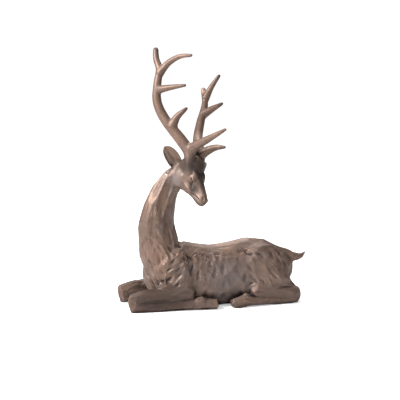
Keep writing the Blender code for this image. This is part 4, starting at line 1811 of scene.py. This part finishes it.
@dataclass
class Studio:
    """The pale floor, the soft lights and the camera.

    The floor glows for the camera alone, from floor_glow near the figure to distance_glow far off.
    """

    azimuth: float = -15.0
    elevation: float = 9.0
    distance: float = 2.2
    lens: float = 132.0
    sensor: float = 36.0
    target: tuple = (-0.0224, 0.0021, 0.158)
    lamps: tuple = (
        Softbox("key", -78, 40, 1.1, 0.55, 26),
        Softbox("fill", 10, 35, 1.6, 0.9, 5),
        Softbox("rim", 165, 60, 1.3, 0.6, 12),
    )
    ambient: float = 0.35
    floor_reach: float = 40.0
    floor_tone: tuple = (0.9, 0.9, 0.9, 1.0)
    floor_roughness: float = 0.9
    floor_glow: float = 0.4
    distance_glow: float = 0.72
    glow_span: tuple = (0.2, 1.2)

    def aim(self, thing: bpy.types.Object, azimuth: float, elevation: float,
            distance: float) -> None:
        """Puts a camera or a light at a distance and turns it to the figure.

        Args:
            thing: The camera or light.
            azimuth: Degrees round the figure, zero at its left flank.
            elevation: Degrees above the horizon.
            distance: Metres from the target.
        """
        a, e = math.radians(azimuth), math.radians(elevation)
        away = Vector((math.sin(a) * math.cos(e), -math.cos(a) * math.cos(e), math.sin(e)))
        thing.location = Vector(self.target) + away * distance
        thing.rotation_euler = (-away).to_track_quat("-Z", "Y").to_euler()
        bpy.context.scene.collection.objects.link(thing)

    def camera(self) -> None:
        """Makes the camera at the photograph's place."""
        lens = bpy.data.cameras.new("camera")
        lens.lens = self.lens
        lens.sensor_width = self.sensor
        camera = bpy.data.objects.new("camera", lens)
        self.aim(camera, self.azimuth, self.elevation, self.distance)
        bpy.context.scene.camera = camera

    def light(self, softbox: Softbox) -> None:
        """Adds one softbox.

        Args:
            softbox: The softbox.
        """
        lamp = bpy.data.lights.new(softbox.name, "AREA")
        lamp.size = softbox.size
        lamp.energy = softbox.power
        self.aim(bpy.data.objects.new(softbox.name, lamp), softbox.azimuth, softbox.elevation,
                 softbox.distance)

    def floor(self) -> None:
        """Makes the pale floor, which the camera sees paler far off."""
        mesh = bpy.data.meshes.new("studio_floor")
        reach = self.floor_reach
        corners = [(-reach, -reach, 0), (reach, -reach, 0), (reach, reach, 0), (-reach, reach, 0)]
        mesh.from_pydata(corners, [], [(0, 1, 2, 3)])
        floor = bpy.data.objects.new("studio_floor", mesh)
        bpy.context.scene.collection.objects.link(floor)
        paint = bpy.data.materials.new("studio_white")
        paint.use_nodes = True
        wires = Wiring(paint.node_tree)
        place = wires.node("ShaderNodeTexCoord").outputs["Object"]
        away = wires.node("ShaderNodeVectorMath", {0: place}, operation="LENGTH").outputs["Value"]
        glow = wires.node("ShaderNodeMapRange", {
            "Value": away, "From Min": self.glow_span[0], "From Max": self.glow_span[1],
            "To Min": self.floor_glow, "To Max": self.distance_glow}).outputs["Result"]
        seen = wires.node("ShaderNodeLightPath").outputs["Is Camera Ray"]
        wires.feed(paint.node_tree.nodes["Principled BSDF"], {
            "Base Color": self.floor_tone,
            "Roughness": self.floor_roughness,
            "Emission Color": WHITE,
            "Emission Strength": wires.reckon("MULTIPLY", seen, glow),
        })
        mesh.materials.append(paint)

    def surroundings(self) -> None:
        """Makes the air round the figure, white to the camera and dimmer as a light."""
        world = bpy.data.worlds.new("studio")
        world.use_nodes = True
        wires = Wiring(world.node_tree)
        seen = wires.node("ShaderNodeLightPath").outputs["Is Camera Ray"]
        strength = wires.node("ShaderNodeMapRange", {"Value": seen, "To Min": self.ambient})
        wires.feed(world.node_tree.nodes["Background"],
                   {"Color": WHITE, "Strength": strength.outputs["Result"]})
        bpy.context.scene.world = world
        bpy.context.scene.view_settings.view_transform = "Standard"

    def build(self) -> None:
        """Sets up the studio."""
        self.floor()
        for softbox in self.lamps:
            self.light(softbox)
        self.camera()
        self.surroundings()


def main() -> None:
    """Builds the figurine and its studio."""
    logging.basicConfig(level=logging.INFO, format="%(name)s: %(message)s")
    stag = Stag().model()
    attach(stag, BODY)
    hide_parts(NODE)
    Studio().build()


if __name__ == "__main__":
    main()
